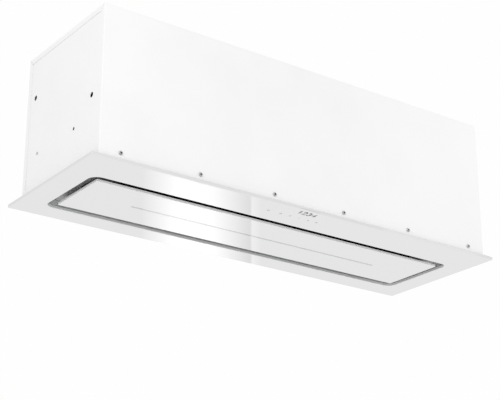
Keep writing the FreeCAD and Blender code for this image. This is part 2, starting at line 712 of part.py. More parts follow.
def wall_screws():
    """Six screws through the front wall and six through the rear wall."""
    screw = pan_screw("wall_screw", screw_length)
    height = face_bottom + screw_rise
    row = []
    for number, x in enumerate(steps(WALL_SCREWS, screw_pitch)):
        row.append(copy_at(f"front_screw_{number}", screw, x, -housing_side, height, TOWARDS_REAR))
        row.append(copy_at(f"rear_screw_{number}", screw, x, housing_side, height, TOWARDS_FRONT))
    group("wall_screws", *row)


def end_screws():
    """One small screw in each end wall."""
    outer = housing_end - wall_sheet
    place = (opening_y + bracket_shift + tie_spread / 2, face_bottom + tie_rise)
    left = fuse("end_screw_left",
                rod("end_screw_head_left", "x", end_screw_head / 2, (-outer - end_screw_rise, -outer), place),
                rod("end_screw_shank_left", "x", end_screw_shank / 2, (-outer, screw_length - outer), place))
    group("end_screws", left, mirror_x("end_screw_right", left))


def hanger_rails():
    """Two channels under the top that spread the load of the ceiling rods."""
    rails = []
    for side in (0, 1):
        centre = (side - 0.5) * hanger_pitch_x
        solid = block(f"rail_solid_{side}", around(centre, rail_width), (-inner_side, inner_side),
                      (roof - rail_height, roof))
        hollow = block(f"rail_hollow_{side}", around(centre, rail_width - 2 * rail_sheet),
                       (-inner_side - PAST, inner_side + PAST),
                       (roof - rail_height - PAST, roof - rail_sheet))
        holes = [rod(f"rail_hole_{side}{end}", "z", hanger_hole / 2, (-rail_height, PAST),
                     (centre, (end - 0.5) * hanger_pitch_y)) for end in (0, 1)]
        rails.append(cut(f"hanger_rail_{side}", solid, hollow, *holes))
    group("hanger_rails", *rails)


# ---------------------------------------------------------------- glass face and its carrier

TRAY_SCREWS = 4
tray_screw_pitch = (opening_length - 2 * tray_screw_margin) / (TRAY_SCREWS - 1)


def face_glass():
    """The white glass frame round the opening."""
    body = document.addObject("PartDesign::Body", "face_glass")
    drawing = new_sketch(body, "face_outline", "XY_Plane", face_bottom, face_across, face_shift)
    rounded_rectangle(drawing, face_length, face_width, face_corner)
    pad(body, drawing, face_thickness)
    cutter = new_sketch(body, "opening_outline", "XY_Plane", glass_top, face_across, opening_y)
    rounded_rectangle(cutter, opening_length, opening_width, opening_corner)
    opening = body.newObject("PartDesign::Pocket", "face_opening")
    opening.Profile = cutter
    opening.Type = 1
    bottom = face_bottom.value
    bevel(body, opening, glass_bevel, lambda edge: is_level(edge, bottom))


def tray_screw_places():
    """The tray's screws, in the middle of its front and rear flanges."""
    front = opening_y - opening_width / 2 - tray_gap - tray_sheet - tray_flange / 2
    rear = opening_y + opening_width / 2 + tray_gap + tray_sheet + tray_flange / 2
    return [(face_across + x, y) for x in steps(TRAY_SCREWS, tray_screw_pitch) for y in (front, rear)]


def face_carrier():
    """The steel frame bonded to the glass, with an upstand behind each long wall."""
    plate = block("carrier_plate", around(face_across, face_length - 2 * carrier_inset),
                  around(face_shift, face_width - 2 * carrier_inset), (glass_top, carrier_top))
    end = housing_end - 2 * wall_sheet - piece_gap
    level = (carrier_top, carrier_top + upstand_rise)
    front = block("carrier_front", (-end, end), (-inner_side, carrier_sheet - inner_side), level)
    rear = block("carrier_rear", (-end, end), (inner_side - carrier_sheet, inner_side), level)
    through = (glass_top - PAST, carrier_top + PAST)
    opening = block("carrier_cut_out", around(face_across, opening_length + 2 * carrier_opening),
                    around(opening_y, opening_width + 2 * carrier_opening), through)
    window = block("carrier_touch_window", around(touch_centre_x, touch_length + 2 * piece_gap),
                   around(touch_y, touch_width + 2 * piece_gap), through)
    tools = [opening, window]
    inside = carrier_sheet + PAST
    tools += screw_holes("carrier_front_hole", (-inner_side - PAST, inside - inner_side))
    tools += screw_holes("carrier_rear_hole", (inner_side - inside, inner_side + PAST))
    tools += [rod(f"carrier_tray_hole_{number}", "z", screw_hole, through, place)
              for number, place in enumerate(tray_screw_places())]
    cut("face_carrier", fuse("carrier_blank", plate, front, rear), *tools)


def ceiling_seal():
    """The foam strip on the face carrier's rim, which meets the ceiling."""
    length = face_length - 2 * (carrier_inset + seal_inset)
    width = face_width - 2 * (carrier_inset + seal_inset)
    strip = block("seal_strip", around(face_across, length), around(face_shift, width),
                  (carrier_top, carrier_top + seal_rise))
    inside = block("seal_inside", around(face_across, length - 2 * seal_width),
                   around(face_shift, width - 2 * seal_width),
                   (carrier_top - PAST, carrier_top + seal_rise + PAST))
    cut("ceiling_seal", strip, inside)


def touch_board():
    """The circuit board behind the printed keys, with its chip and plug."""
    top = glass_top + touch_board_thickness
    fuse("touch_board",
         block("touch_sheet", around(touch_centre_x, touch_length), around(touch_y, touch_width),
               (glass_top, top)),
         block("touch_processor", around(touch_centre_x, touch_chip), around(touch_y, touch_chip),
               (top, top + touch_board_thickness)),
         block("touch_plug_body", around(touch_centre_x + touch_plug_shift, touch_plug),
               around(touch_y, touch_plug), (top, top + touch_plug_rise)))


# ---------------------------------------------------------------- suction tray and filters

FILTER_SIDES = (("left", -1), ("right", 1))


def latch_centre(side):
    """The middle of a filter along X."""
    return side * (filter_length + filter_gap) / 2


def tongue_blocks(name, side, length, play):
    """Two tongues at the rear of a filter, or the slots for them."""
    middle = filter_bottom + filter_thickness / 2
    return [block(f"{name}_{number}",
                  around(latch_centre(side) + (number - 0.5) * tongue_pitch, tongue_width + 2 * play),
                  (filter_rear, filter_rear + length), around(middle, tongue_thickness + 2 * play))
            for number in (0, 1)]


def bolt_level():
    """The height of the latch bolts' middle."""
    return filter_bottom + wing_rise + latch_play + tongue_thickness / 2


def suction_tray():
    """The pan behind the slot: a flange on the carrier, a wall, a ledge and a pocket for the filters."""
    inner_x = opening_length / 2 + tray_gap
    inner_y = opening_width / 2 + tray_gap
    outer_x, outer_y = inner_x + tray_sheet, inner_y + tray_sheet
    flange_x, flange_y = outer_x + tray_flange, outer_y + tray_flange
    pocket_top = filter_top + filter_gap + tray_sheet
    blank = fuse(
        "tray_blank",
        block("tray_flange", around(face_across, 2 * flange_x), around(opening_y, 2 * flange_y),
              (carrier_top, carrier_top + tray_sheet)),
        block("tray_pan", around(face_across, 2 * outer_x), around(opening_y, 2 * outer_y),
              (carrier_top, ledge_top)),
        block("tray_pocket", (-field_end - tray_sheet, field_end + tray_sheet),
              (field_front - tray_sheet, field_rear + tray_sheet), (ledge_bottom, pocket_top)))
    tools = [
        block("tray_pan_inside", around(face_across, 2 * inner_x), around(opening_y, 2 * inner_y),
              (carrier_top - PAST, ledge_bottom)),
        block("tray_pocket_inside", (-field_end, field_end), (field_front, field_rear),
              (ledge_bottom - PAST, pocket_top - tray_sheet)),
    ]
    for name, side in FILTER_SIDES:
        near, far = filter_gap / 2 + filter_stop, field_end - filter_stop
        window_x = (near, far) if side > 0 else (-far, -near)
        tools.append(block(f"tray_window_{name}", window_x,
                           (field_front + filter_stop, field_rear - filter_stop),
                           (ledge_bottom, pocket_top + PAST)))
        tools.append(block(f"tray_bolt_slot_{name}", around(latch_centre(side), latch_bolt + 2 * piece_gap),
                           (field_front - tray_sheet - PAST, field_front + PAST),
                           around(bolt_level(), tongue_thickness + 2 * piece_gap)))
        tools += tongue_blocks(f"tray_tongue_slot_{name}", side, tongue_length + PAST, piece_gap)
    tools += [rod(f"tray_hole_{number}", "z", screw_hole,
                  (carrier_top - PAST, carrier_top + tray_sheet + PAST), place)
              for number, place in enumerate(tray_screw_places())]
    cut("suction_tray", blank, *tools)


def tray_screws():
    """Screws that hold the tray's flange to the carrier."""
    screw = pan_screw("tray_screw", tray_screw_length)
    group("tray_screws", *[copy_at(f"tray_screw_{number}", screw, x, y, carrier_top + tray_sheet)
                           for number, (x, y) in enumerate(tray_screw_places())])


def grease_filter(name, side):
    """A filter cassette: a frame with a latch rail at the front and tongues at the rear, and its mesh."""
    centre = latch_centre(side)
    level = (filter_bottom, filter_top)
    frame = block(f"frame_solid_{name}", around(centre, filter_length), (filter_front, filter_rear), level)
    mesh_x = around(centre, filter_length - 2 * filter_rail)
    mesh_y = (filter_front + latch_rail, filter_rear - filter_rail)
    pocket_front = filter_front + latch_wall
    pocket_rear = pocket_front + latch_play + latch_depth + spring_room
    window = block(f"frame_window_{name}", mesh_x, mesh_y, (filter_bottom - PAST, filter_top + PAST))
    mouth = block(f"frame_mouth_{name}", around(centre, latch_width + 2 * latch_play),
                  (pocket_front, pocket_rear), (filter_bottom - PAST, filter_bottom + pocket_rise))
    wings = block(f"frame_wing_room_{name}", around(centre, latch_width + 2 * latch_wings + 2 * latch_play),
                  (pocket_front, pocket_rear), (filter_bottom + wing_rise, filter_bottom + pocket_rise))
    bolt_slot = block(f"frame_bolt_slot_{name}", around(centre, latch_bolt + 2 * latch_play),
                      (filter_front - PAST, pocket_front + PAST),
                      around(bolt_level(), tongue_thickness + 2 * latch_play))
    tongues = tongue_blocks(f"frame_tongue_{name}", side, tongue_length, 0)
    cut(f"filter_frame_{name}", fuse(f"frame_blank_{name}", frame, *tongues), window, mouth, wings, bolt_slot)
    mesh_level = around(filter_bottom + filter_thickness / 2, mesh_thickness)
    block(f"filter_mesh_{name}", mesh_x, mesh_y, mesh_level)


def filter_latch(name, side):
    """The sliding latch in a filter's front rail: slider, wings, bolt and finger grip."""
    centre = latch_centre(side)
    front = filter_front + latch_wall + latch_play
    depth = (front, front + latch_depth)
    top = filter_bottom + pocket_rise - latch_play
    fuse(f"filter_latch_{name}",
         block(f"latch_stem_{name}", around(centre, latch_width), depth, (filter_bottom, top)),
         block(f"latch_wings_{name}", around(centre, latch_width + 2 * latch_wings), depth,
               (filter_bottom + wing_rise + latch_play, top)),
         block(f"latch_bolt_{name}", around(centre, latch_bolt), (filter_front - latch_reach, depth[1]),
               around(bolt_level(), tongue_thickness)),
         block(f"latch_grip_{name}", around(centre, latch_grip_width), depth,
               (filter_bottom - latch_grip, filter_bottom)))


def latch_spring(name, side):
    """The compression spring behind a latch, lying along Y."""
    coil = document.addObject("Part::Helix", f"spring_line_{name}")
    bind(coil, "Radius", spring_radius)
    bind(coil, "Pitch", (spring_room - spring_wire) / spring_turns)
    bind(coil, "Height", spring_room - spring_wire)
    wire = document.addObject("Part::Circle", f"spring_wire_{name}")
    wire.Placement = FreeCAD.Placement(Vector(), Rotation(Vector(1, 0, 0), 90))
    bind(wire, "Radius", spring_wire / 2)
    bind(wire, "Placement.Base.x", spring_radius)
    spring = document.addObject("Part::Sweep", f"latch_spring_{name}")
    spring.Sections = [wire]
    spring.Spine = (coil, ["Edge1"])
    spring.Solid = True
    spring.Frenet = True
    spring.Placement = FreeCAD.Placement(Vector(), AXIS_TURN["y"])
    move(spring, latch_centre(side),
         filter_front + latch_wall + latch_play + latch_depth + spring_wire / 2,
         filter_bottom + wing_rise + latch_play + spring_radius / 2)


# ---------------------------------------------------------------- centre panel

def panel_glass():
    """The flush glass panel with a slot for the light line."""
    body = document.addObject("PartDesign::Body", "panel_glass")
    drawing = new_sketch(body, "panel_outline", "XY_Plane", face_bottom, 0, opening_y)
    rounded_rectangle(drawing, panel_length, panel_width, panel_corner)
    pad(body, drawing, panel_thickness)
    cutter = new_sketch(body, "light_outline", "XY_Plane", face_bottom + panel_thickness, 0, opening_y)
    rounded_rectangle(cutter, light_length, light_width, light_corner)
    slot = body.newObject("PartDesign::Pocket", "light_slot")
    slot.Profile = cutter
    slot.Type = 1
    bottom, middle = face_bottom.value, opening_y.value
    near_light, light_end = light_width.value, (light_length.value + panel_length.value) / 4

    def is_rim(edge):
        centre = edge.CenterOfMass
        outside = abs(centre.y - middle) > near_light or abs(centre.x) > light_end
        return is_level(edge, bottom) and outside

    bevel(body, slot, glass_bevel, is_rim)


def panel_carrier():
    """The steel plate bonded to the back of the glass, and two bars welded to it on edge."""
    level = (face_bottom + panel_thickness, panel_back_top)
    plate = block("panel_sheet", around(0, panel_length - 2 * panel_inset),
                  around(opening_y, panel_width - 2 * panel_inset), level)
    half = panel_width / 2 - panel_rib_inset
    rib_x = around(0, panel_rib_length)
    rib_z = (panel_back_top, panel_back_top + panel_rib_rise)
    front = block("panel_rib_front", rib_x, (opening_y - half, opening_y - half + carrier_sheet), rib_z)
    rear = block("panel_rib_rear", rib_x, (opening_y + half - carrier_sheet, opening_y + half), rib_z)
    slot = block("panel_light_slot", around(0, light_length + 2 * light_lip),
                 around(opening_y, light_width + 2 * light_lip), (level[0] - PAST, level[1] + PAST))
    group("panel_carrier", cut("panel_plate", plate, slot), front, rear)


def light_line():
    """Aluminium profile and diode board of the light line."""
    length = light_length + 2 * profile_overhang
    top = panel_back_top + profile_rise
    inside = top - profile_wall
    cut("light_profile",
        block("profile_solid", around(0, length), around(opening_y, profile_width),
              (panel_back_top, top)),
        block("profile_hollow", around(0, length + 2 * PAST),
              around(opening_y, profile_width - 2 * profile_wall), (panel_back_top - PAST, inside)))
    board_bottom = inside - touch_board_thickness
    pitch = light_length / diode_count
    diodes = [block(f"diode_{number}", around(x, diode_side), around(opening_y, diode_side),
                    (board_bottom - diode_rise, board_bottom))
              for number, x in enumerate(steps(int(diode_count.value), pitch))]
    fuse("light_board",
         block("light_board_sheet", around(0, light_length), around(opening_y, light_board_width),
               (board_bottom, inside)), *diodes)


def light_diffuser():
    """The opal strip that fills the slot in the glass, held by a lip behind it."""
    body = document.addObject("PartDesign::Body", "light_diffuser")
    nose = new_sketch(body, "diffuser_nose", "XY_Plane", face_bottom + light_recess, 0, opening_y)
    rounded_rectangle(nose, light_length - 2 * light_play, light_width - 2 * light_play,
                      light_corner - light_play)
    pad(body, nose, panel_thickness - light_recess)
    lip = new_sketch(body, "diffuser_lip", "XY_Plane", face_bottom + panel_thickness, 0, opening_y)
    spread = 2 * light_lip - 2 * light_play
    rounded_rectangle(lip, light_length + spread, light_width + spread, light_corner)
    pad(body, lip, carrier_sheet)


def panel_hinges():
    """Brackets under the tray's ledge, pins, and the leaves on the panel."""
    brackets, pins, leaves = [], [], []
    half = knuckle_length / 2
    ear_in, ear_out = half + piece_gap, half + piece_gap + hinge_sheet
    for end, side in enumerate((-1, 1)):
        station = side * hinge_station
        base_bottom = ledge_bottom - hinge_sheet
        pieces = [block(f"bracket_base_{end}", around(station, 2 * ear_out),
                        around(pin_y, hinge_base), (base_bottom, ledge_bottom))]
        for ear, direction in enumerate((-1, 1)):
            span = sorted((direction * ear_in, direction * ear_out), key=lambda size: size.value)
            ends = (station + span[0], station + span[1])
            pieces.append(block(f"bracket_ear_{end}{ear}", ends, around(pin_y, 2 * knuckle_radius),
                                (pin_z, ledge_bottom)))
            pieces.append(rod(f"bracket_round_{end}{ear}", "x", knuckle_radius, ends, (pin_y, pin_z)))
        hole = rod(f"bracket_hole_{end}", "x", pin_radius, around(station, 4 * ear_out), (pin_y, pin_z))
        brackets.append(cut(f"hinge_bracket_{end}", fuse(f"bracket_blank_{end}", *pieces), hole))
        shank = rod(f"pin_shank_{end}", "x", pin_radius, around(station, 2 * (ear_out + pin_head_rise)),
                    (pin_y, pin_z))
        head = rod(f"pin_head_{end}", "x", pin_head,
                   (station + ear_out, station + ear_out + pin_head_rise), (pin_y, pin_z))
        pins.append(fuse(f"hinge_pin_{end}", shank, head))
        leaf = fuse(f"leaf_blank_{end}",
                    block(f"leaf_plate_{end}", around(station, knuckle_length),
                          (pin_y - leaf_depth, pin_y), (panel_back_top, panel_back_top + hinge_sheet)),
                    block(f"leaf_web_{end}", around(station, knuckle_length),
                          (pin_y - knuckle_radius, pin_y), (panel_back_top, pin_z)),
                    rod(f"leaf_knuckle_{end}", "x", knuckle_radius, around(station, knuckle_length),
                        (pin_y, pin_z)))
        bore = rod(f"leaf_bore_{end}", "x", pin_radius + pin_play, around(station, 2 * knuckle_length),
                   (pin_y, pin_z))
        leaves.append(cut(f"hinge_leaf_{end}", leaf, bore))
    group("hinge_brackets", *brackets)
    group("hinge_pins", *pins)
    group("hinge_leaves", *leaves)


def panel_catches():
    """Magnets under the tray's ledge and the striker plates they hold."""
    front = opening_y - panel_width / 2 + catch_inset
    along = (front, front + catch_length)
    striker_top = panel_back_top + hinge_sheet
    magnets, strikers = [], []
    for end, side in enumerate((-1, 1)):
        span = around(side * catch_station, catch_width)
        magnets.append(block(f"magnet_{end}", span, along,
                             (striker_top + piece_gap, ledge_bottom)))
        strikers.append(block(f"striker_{end}", span, along, (panel_back_top, striker_top)))
    group("catch_magnets", *magnets)
    group("striker_plates", *strikers)


# ---------------------------------------------------------------- blower

SCROLL_LUGS = ((1, 130), (2, 225), (2, 270), (3, 315), (3, 350))
BRACKET_ARMS = (30, 150, 270)


def scroll_point(quarter, degrees, outwards):
    """A point on one of the scroll's quarter arcs, moved outwards, seen from the blower axis."""
    half, growth = scroll_growth.value / 2, scroll_growth.value
    across, up = ((-half, half), (-half, -half), (half, -half), (half, half))[quarter]
    radius = scroll_start.value + quarter * growth + outwards
    angle = math.radians(degrees)
    return Vector(0, across + radius * math.cos(angle), up + radius * math.sin(angle))


def scroll_outline(inset):
    """The scroll seen along X: four growing quarter arcs and a straight neck, moved in by inset."""
    centre = -scroll_growth.value / 2
    tongue = tongue_reach.value + inset
    first_angle = math.degrees(math.acos((tongue - centre) / (scroll_start.value - inset)))
    edges = []
    for quarter, (begin, end) in enumerate([(first_angle, 90), (90, 180), (180, 270), (270, 360)]):
        through = [scroll_point(quarter, degrees, -inset) for degrees in (begin, (begin + end) / 2, end)]
        edges.append(Part.Arc(*through).toShape())
    outer_end, tongue_end = scroll_point(3, 360, -inset), scroll_point(0, first_angle, -inset)
    corner_out = Vector(0, outer_end.y, scroll_neck.value)
    corner_in = Vector(0, tongue_end.y, scroll_neck.value)
    for begin, end in ((outer_end, corner_out), (corner_out, corner_in), (corner_in, tongue_end)):
        edges.append(Part.LineSegment(begin, end).toShape())
    return Part.Face(Part.Wire(edges))


def scroll_mouth():
    """Width of the scroll's neck along Y."""
    return scroll_start.value + 3.5 * scroll_growth.value - tongue_reach.value


def scroll_half(name, side):
    """One moulded half of the blower's casing, open at the inlet, the outlet and the middle plane."""
    width = scroll_width.value / 2
    wall = scroll_wall.value
    direction = Vector(side, 0, 0)
    flange_side, flange_sheet = scroll_flange.value, scroll_flange_sheet.value
    top, mouth = scroll_neck.value, scroll_mouth()
    outlet_y = (duct_shift - axis_y).value
    shell = scroll_outline(0).extrude(direction * width)
    flange = Part.makeBox(flange_side, 2 * flange_side, flange_sheet,
                          Vector(min(0, side) * flange_side, outlet_y - flange_side, top - flange_sheet))
    shell = shell.fuse(flange)
    hollow = scroll_outline(wall).extrude(direction * (width - wall))
    outlet = Part.makeBox(width - wall, mouth - 2 * wall, flange_sheet + 2 * PAST,
                          Vector(min(0, side) * (width - wall), outlet_y - mouth / 2 + wall,
                                 top - flange_sheet - PAST))
    inlet = Part.makeCylinder(inlet_radius.value + inlet_ring_wall.value, width * 2, Vector(), direction)
    bores = []
    for quarter, degrees in SCROLL_LUGS:
        spot = scroll_point(quarter, degrees, lug_reach.value)
        shell = shell.fuse(Part.makeCylinder(lug_radius.value, lug_length.value, spot, direction))
        bores.append(Part.makeCylinder(screw_hole.value, 2 * lug_length.value, spot, direction))
    for place_x, place_y in collar_bolt_places():
        spot = Vector(place_x.value, place_y.value - axis_y.value, top - collar_screw_length.value)
        bores.append(Part.makeCylinder(screw_hole.value, 2 * collar_screw_length.value, spot))
    shell = shell.cut([hollow, outlet, inlet, *bores])
    feature = document.addObject("Part::Feature", name)
    feature.Shape = shell.removeSplitter()
    feature.Placement = FreeCAD.Placement(Vector(0, axis_y.value, axis_z.value), Rotation())


def impeller():
    """A double-inlet wheel: a middle disc with a hub, forward-curved blades and three rings."""
    radius, width = impeller_radius.value, impeller_width.value
    depth, thickness = blade_depth.value, blade_sheet.value
    along = Vector(1, 0, 0)
    inner, ring = radius - depth, ring_width.value
    left_end = Vector(-width / 2, 0, 0)
    disc = Part.makeCylinder(inner + depth / 2, ring, Vector(-ring / 2, 0, 0), along)
    hub = hub_length.value
    pieces = [Part.makeCylinder(hub_radius.value, hub, Vector(-hub / 2, 0, 0), along)]
    for start in (-width / 2, -ring / 2, width / 2 - ring):
        place = Vector(start, 0, 0)
        rim = Part.makeCylinder(radius, ring, place, along)
        pieces.append(rim.cut(Part.makeCylinder(radius - ring_depth.value, ring, place, along)))
    curve = depth * 0.75
    arc_centre = Vector(-width / 2, 0, inner + depth / 2)
    arc = Part.makeCylinder(curve, width, arc_centre, along)
    arc = arc.cut(Part.makeCylinder(curve - thickness, width, arc_centre, along))
    keep = Part.makeBox(width, 2 * curve, 2 * depth, Vector(-width / 2, 0, inner))
    blade = arc.common(keep).common(Part.makeCylinder(radius, width, left_end, along))
    count = int(blade_count.value)
    for number in range(count):
        copy = blade.copy()
        copy.rotate(Vector(), along, number * 360.0 / count)
        pieces.append(copy)
    bore = Part.makeCylinder(shaft_radius.value, width, left_end, along)
    feature = document.addObject("Part::Feature", "impeller")
    feature.Shape = disc.fuse(pieces).cut(bore)
    feature.Placement = FreeCAD.Placement(Vector(0, axis_y.value, axis_z.value), Rotation())


def inlet_rings():
    """Rings that guide the air into the impeller from both ends."""
    centre = (axis_y, axis_z)
    face = scroll_width / 2
    left = fuse("inlet_ring_left",
                tube("inlet_flange", "x", inlet_radius + inlet_ring_flange, inlet_radius,
                     (-face - inlet_ring_wall, -face), centre),
                tube("inlet_throat", "x", inlet_radius + inlet_ring_wall, inlet_radius,
                     (-face - inlet_ring_wall, inlet_ring_depth - face), centre))
    group("inlet_rings", left, mirror_x("inlet_ring_right", left))


def motor():
    """Motor in the left inlet: shell, end cap, stator, windings, bearings, rotor and shaft."""
    centre = (axis_y, axis_z)
    left, right = -motor_left, -motor_right
    shell_end = left + motor_wall
    cap_start = right - motor_wall
    boss = bearing_radius + motor_wall
    seat_left = (shell_end, shell_end + bearing_width)
    seat_right = (cap_start - bearing_width, cap_start)
    shell = cut("shell_cup",
                rod("shell_solid", "x", motor_radius, (left, cap_start), centre),
                rod("shell_hollow", "x", motor_radius - motor_wall, (shell_end, cap_start + PAST), centre),
                rod("shell_shaft_hole", "x", shaft_radius + piece_gap, (left - PAST, shell_end + PAST),
                    centre))
    fuse("motor_shell", shell, tube("shell_boss", "x", boss, bearing_radius, seat_left, centre))
    cap = tube("cap_disc", "x", motor_radius, shaft_radius + piece_gap, (cap_start, right), centre)
    fuse("motor_end_cap", cap, tube("cap_boss", "x", boss, bearing_radius, seat_right, centre))
    rotor_ends = (shell_end + bearing_width + piece_gap, cap_start - bearing_width - piece_gap)
    stator_ends = (left + stator_clear, right - stator_clear)
    stator_outside, stator_inside = motor_radius - motor_wall, rotor_radius + rotor_gap
    tube("motor_stator", "x", stator_outside, stator_inside, stator_ends, centre)
    coil = (stator_outside - winding_inset, stator_inside + winding_inset)
    group("motor_windings",
          tube("winding_left", "x", *coil, (stator_ends[0] - winding_length, stator_ends[0]), centre),
          tube("winding_right", "x", *coil, (stator_ends[1], stator_ends[1] + winding_length), centre))
    group("motor_bearings",
          tube("bearing_left", "x", bearing_radius, shaft_radius + shaft_play, seat_left, centre),
          tube("bearing_right", "x", bearing_radius, shaft_radius + shaft_play, seat_right, centre))
    tube("motor_rotor", "x", rotor_radius, shaft_radius, rotor_ends, centre)
    rod("motor_shaft", "x", shaft_radius, (left - shaft_end, shaft_end), centre)


def motor_mounting():
    """A band with three arms round the motor, on rubber bushes screwed to the scroll."""
    centre = (axis_y, axis_z)
    face = -scroll_width / 2
    outer = face - inlet_ring_wall - piece_gap
    span = (outer - arm_sheet, outer)
    pieces = [rod("band", "x", motor_radius + arm_sheet, (outer - arm_width, outer), centre)]
    holes = [rod("band_hole", "x", motor_radius, (outer - arm_width - PAST, outer + PAST), centre)]
    bushes, screws = [], []
    for number, degrees in enumerate(BRACKET_ARMS):
        angle = math.radians(degrees)
        spot = (axis_y + arm_reach * math.cos(angle), axis_z + arm_reach * math.sin(angle))
        arm = document.addObject("Part::Box", f"arm_{number}")
        arm.Placement = FreeCAD.Placement(Vector(), Rotation(Vector(1, 0, 0), degrees))
        bind(arm, "Length", arm_sheet)
        bind(arm, "Width", arm_reach)
        bind(arm, "Height", arm_width)
        move(arm, span[0], axis_y + arm_width * (math.sin(angle) / 2),
             axis_z - arm_width * (math.cos(angle) / 2))
        pieces.append(arm)
        pieces.append(rod(f"arm_eye_{number}", "x", bush_radius + arm_sheet, span, spot))
        holes.append(rod(f"arm_hole_{number}", "x", arm_hole, (span[0] - PAST, span[1] + PAST), spot))
        bushes.append(tube(f"bush_{number}", "x", bush_radius, screw_hole, (span[1], face), spot))
        screws.append(fuse(f"motor_screw_{number}",
                           rod(f"motor_screw_head_{number}", "x", bush_radius,
                               (span[0] - screw_head_rise, span[0]), spot),
                           rod(f"motor_screw_shank_{number}", "x", screw_shank / 2, (span[0], face), spot)))
    cut("motor_bracket", fuse("bracket_blank", *pieces), *holes)
    group("motor_bushes", *bushes)
    group("motor_screws", *screws)


def scroll_screws():
    """Screws through the lugs round the scroll, which hold its two halves together."""
    screws = []
    head_side = -lug_length
    for number, (quarter, degrees) in enumerate(SCROLL_LUGS):
        angle = math.radians(degrees)
        reach = scroll_start + quarter * scroll_growth + lug_reach
        side_y, side_z = ((-1, 1), (-1, -1), (1, -1), (1, 1))[quarter]
        spot = (axis_y + side_y * scroll_growth / 2 + reach * math.cos(angle),
                axis_z + side_z * scroll_growth / 2 + reach * math.sin(angle))
        screws.append(fuse(f"scroll_screw_{number}",
                           rod(f"scroll_head_{number}", "x", screw_head / 2,
                               (head_side - screw_head_rise, head_side), spot),
                           rod(f"scroll_shank_{number}", "x", screw_shank / 2,
                               (head_side, lug_length), spot)))
    group("scroll_screws", *screws)


# ---------------------------------------------------------------- outlet

def outlet_collar():
    """The round collar on the top, with a stop for the flaps and holes for their pin."""
    outer = duct_diameter / 2
    inner = outer - collar_wall
    blank = turned("collar_turned", [
        (inner, 0),
        (collar_flange, 0),
        (collar_flange, collar_flange_rise),
        (outer, collar_flange_rise),
        (outer, collar_rise),
        (inner, collar_rise),
        (inner, flap_stop_rise),
        (inner - flap_stop_width, flap_stop_rise),
        (inner - flap_stop_width, flap_stop_rise - collar_wall),
        (inner, flap_stop_rise - collar_wall),
    ])
    placed = copy_at("collar_placed", blank, 0, duct_shift, 0)
    pin_hole = rod("collar_pin_hole", "y", flap_pin_radius,
                   (duct_shift - outer - PAST, duct_shift + outer + PAST), (0, flap_axis_z))
    bolt_holes = collar_bolt_holes("collar_hole", (-PAST, collar_flange_rise + PAST))
    cut("outlet_collar", placed, pin_hole, *bolt_holes)
    screw = pan_screw("collar_screw", collar_screw_length)
    group("collar_screws", *[copy_at(f"collar_screw_{number}", screw, x, y, collar_flange_rise)
                             for number, (x, y) in enumerate(collar_bolt_places())])


def flap(name, side):
    """Half of the non-return valve: a half disc with two knuckles on the common pin."""
    radius = duct_diameter / 2 - collar_wall - flap_gap
    start = flap_knuckle + flap_gap
    level = (flap_stop_rise + piece_gap, flap_stop_rise + piece_gap + flap_sheet)
    disc = rod(f"{name}_disc", "z", radius, level, (0, duct_shift))
    reach = (start, radius + PAST) if side > 0 else (-radius - PAST, -start)
    half = common(f"{name}_half", disc,
                  block(f"{name}_side", reach, (duct_shift - radius, duct_shift + radius), level))
    pieces, bores = [half], []
    for number, station in enumerate((-1.5, 0.5)):
        middle = duct_shift + side * station * flap_knuckle_pitch
        ends = around(middle, flap_knuckle_length)
        web = (0, start + PAST) if side > 0 else (-start - PAST, 0)
        pieces.append(block(f"{name}_web_{number}", web, ends, level))
        pieces.append(rod(f"{name}_knuckle_{number}", "y", flap_knuckle, ends, (0, flap_axis_z)))
        bores.append(rod(f"{name}_bore_{number}", "y", flap_pin_radius + pin_play,
                         (ends[0] - PAST, ends[1] + PAST), (0, flap_axis_z)))
    cut(name, fuse(f"{name}_blank", *pieces), *bores)


def flap_pin():
    """The pin across the collar that both flaps turn on."""
    outer = duct_diameter / 2
    rod("flap_pin", "y", flap_pin_radius, (duct_shift - outer, duct_shift + outer), (0, flap_axis_z))


# ---------------------------------------------------------------- electrics

def control_box():
    """The box under the top with its push-fit lid, board and mains terminals."""
    x, y = around(box_centre_x, box_length), around(box_centre_y, box_width)
    inside_x = around(box_centre_x, box_length - 2 * box_wall)
    inside_y = around(box_centre_y, box_width - 2 * box_wall)
    bottom = roof - box_height
    gland_hole = rod("box_gland_hole", "z", gland_radius, (roof - box_wall - PAST, roof + PAST),
                     (box_centre_x, box_centre_y))
    cut("control_box", block("box_solid", x, y, (bottom, roof)),
        block("box_hollow", inside_x, inside_y, (bottom - PAST, roof - box_wall)), gland_hole)
    rim_length, rim_width = box_length - 2 * (box_wall + screw_play), box_width - 2 * (box_wall + screw_play)
    rim_level = (bottom, bottom + lid_rim)
    rim = cut("lid_rim_frame",
              block("lid_rim_solid", around(box_centre_x, rim_length), around(box_centre_y, rim_width),
                    rim_level),
              block("lid_rim_hollow", around(box_centre_x, rim_length - 2 * box_wall),
                    around(box_centre_y, rim_width - 2 * box_wall), (bottom - PAST, bottom + lid_rim + PAST)))
    fuse("control_box_lid", block("lid_plate", x, y, (bottom - box_wall, bottom)), rim)
    board_top = roof - box_wall - board_drop
    board_bottom = board_top - touch_board_thickness
    fuse("control_board",
         block("board_sheet", inside_x, inside_y, (board_bottom, board_top)),
         block("board_transformer", around(box_centre_x - part_pitch, transformer_length),
               around(box_centre_y, transformer_width), (board_bottom - transformer_rise, board_bottom)),
         block("board_relay", around(box_centre_x, relay_side), around(box_centre_y, relay_side),
               (board_bottom - relay_rise, board_bottom)))
    block("terminal_block", around(box_centre_x + part_pitch, terminal_length),
          around(box_centre_y, terminal_width), (board_bottom - terminal_rise, board_bottom))


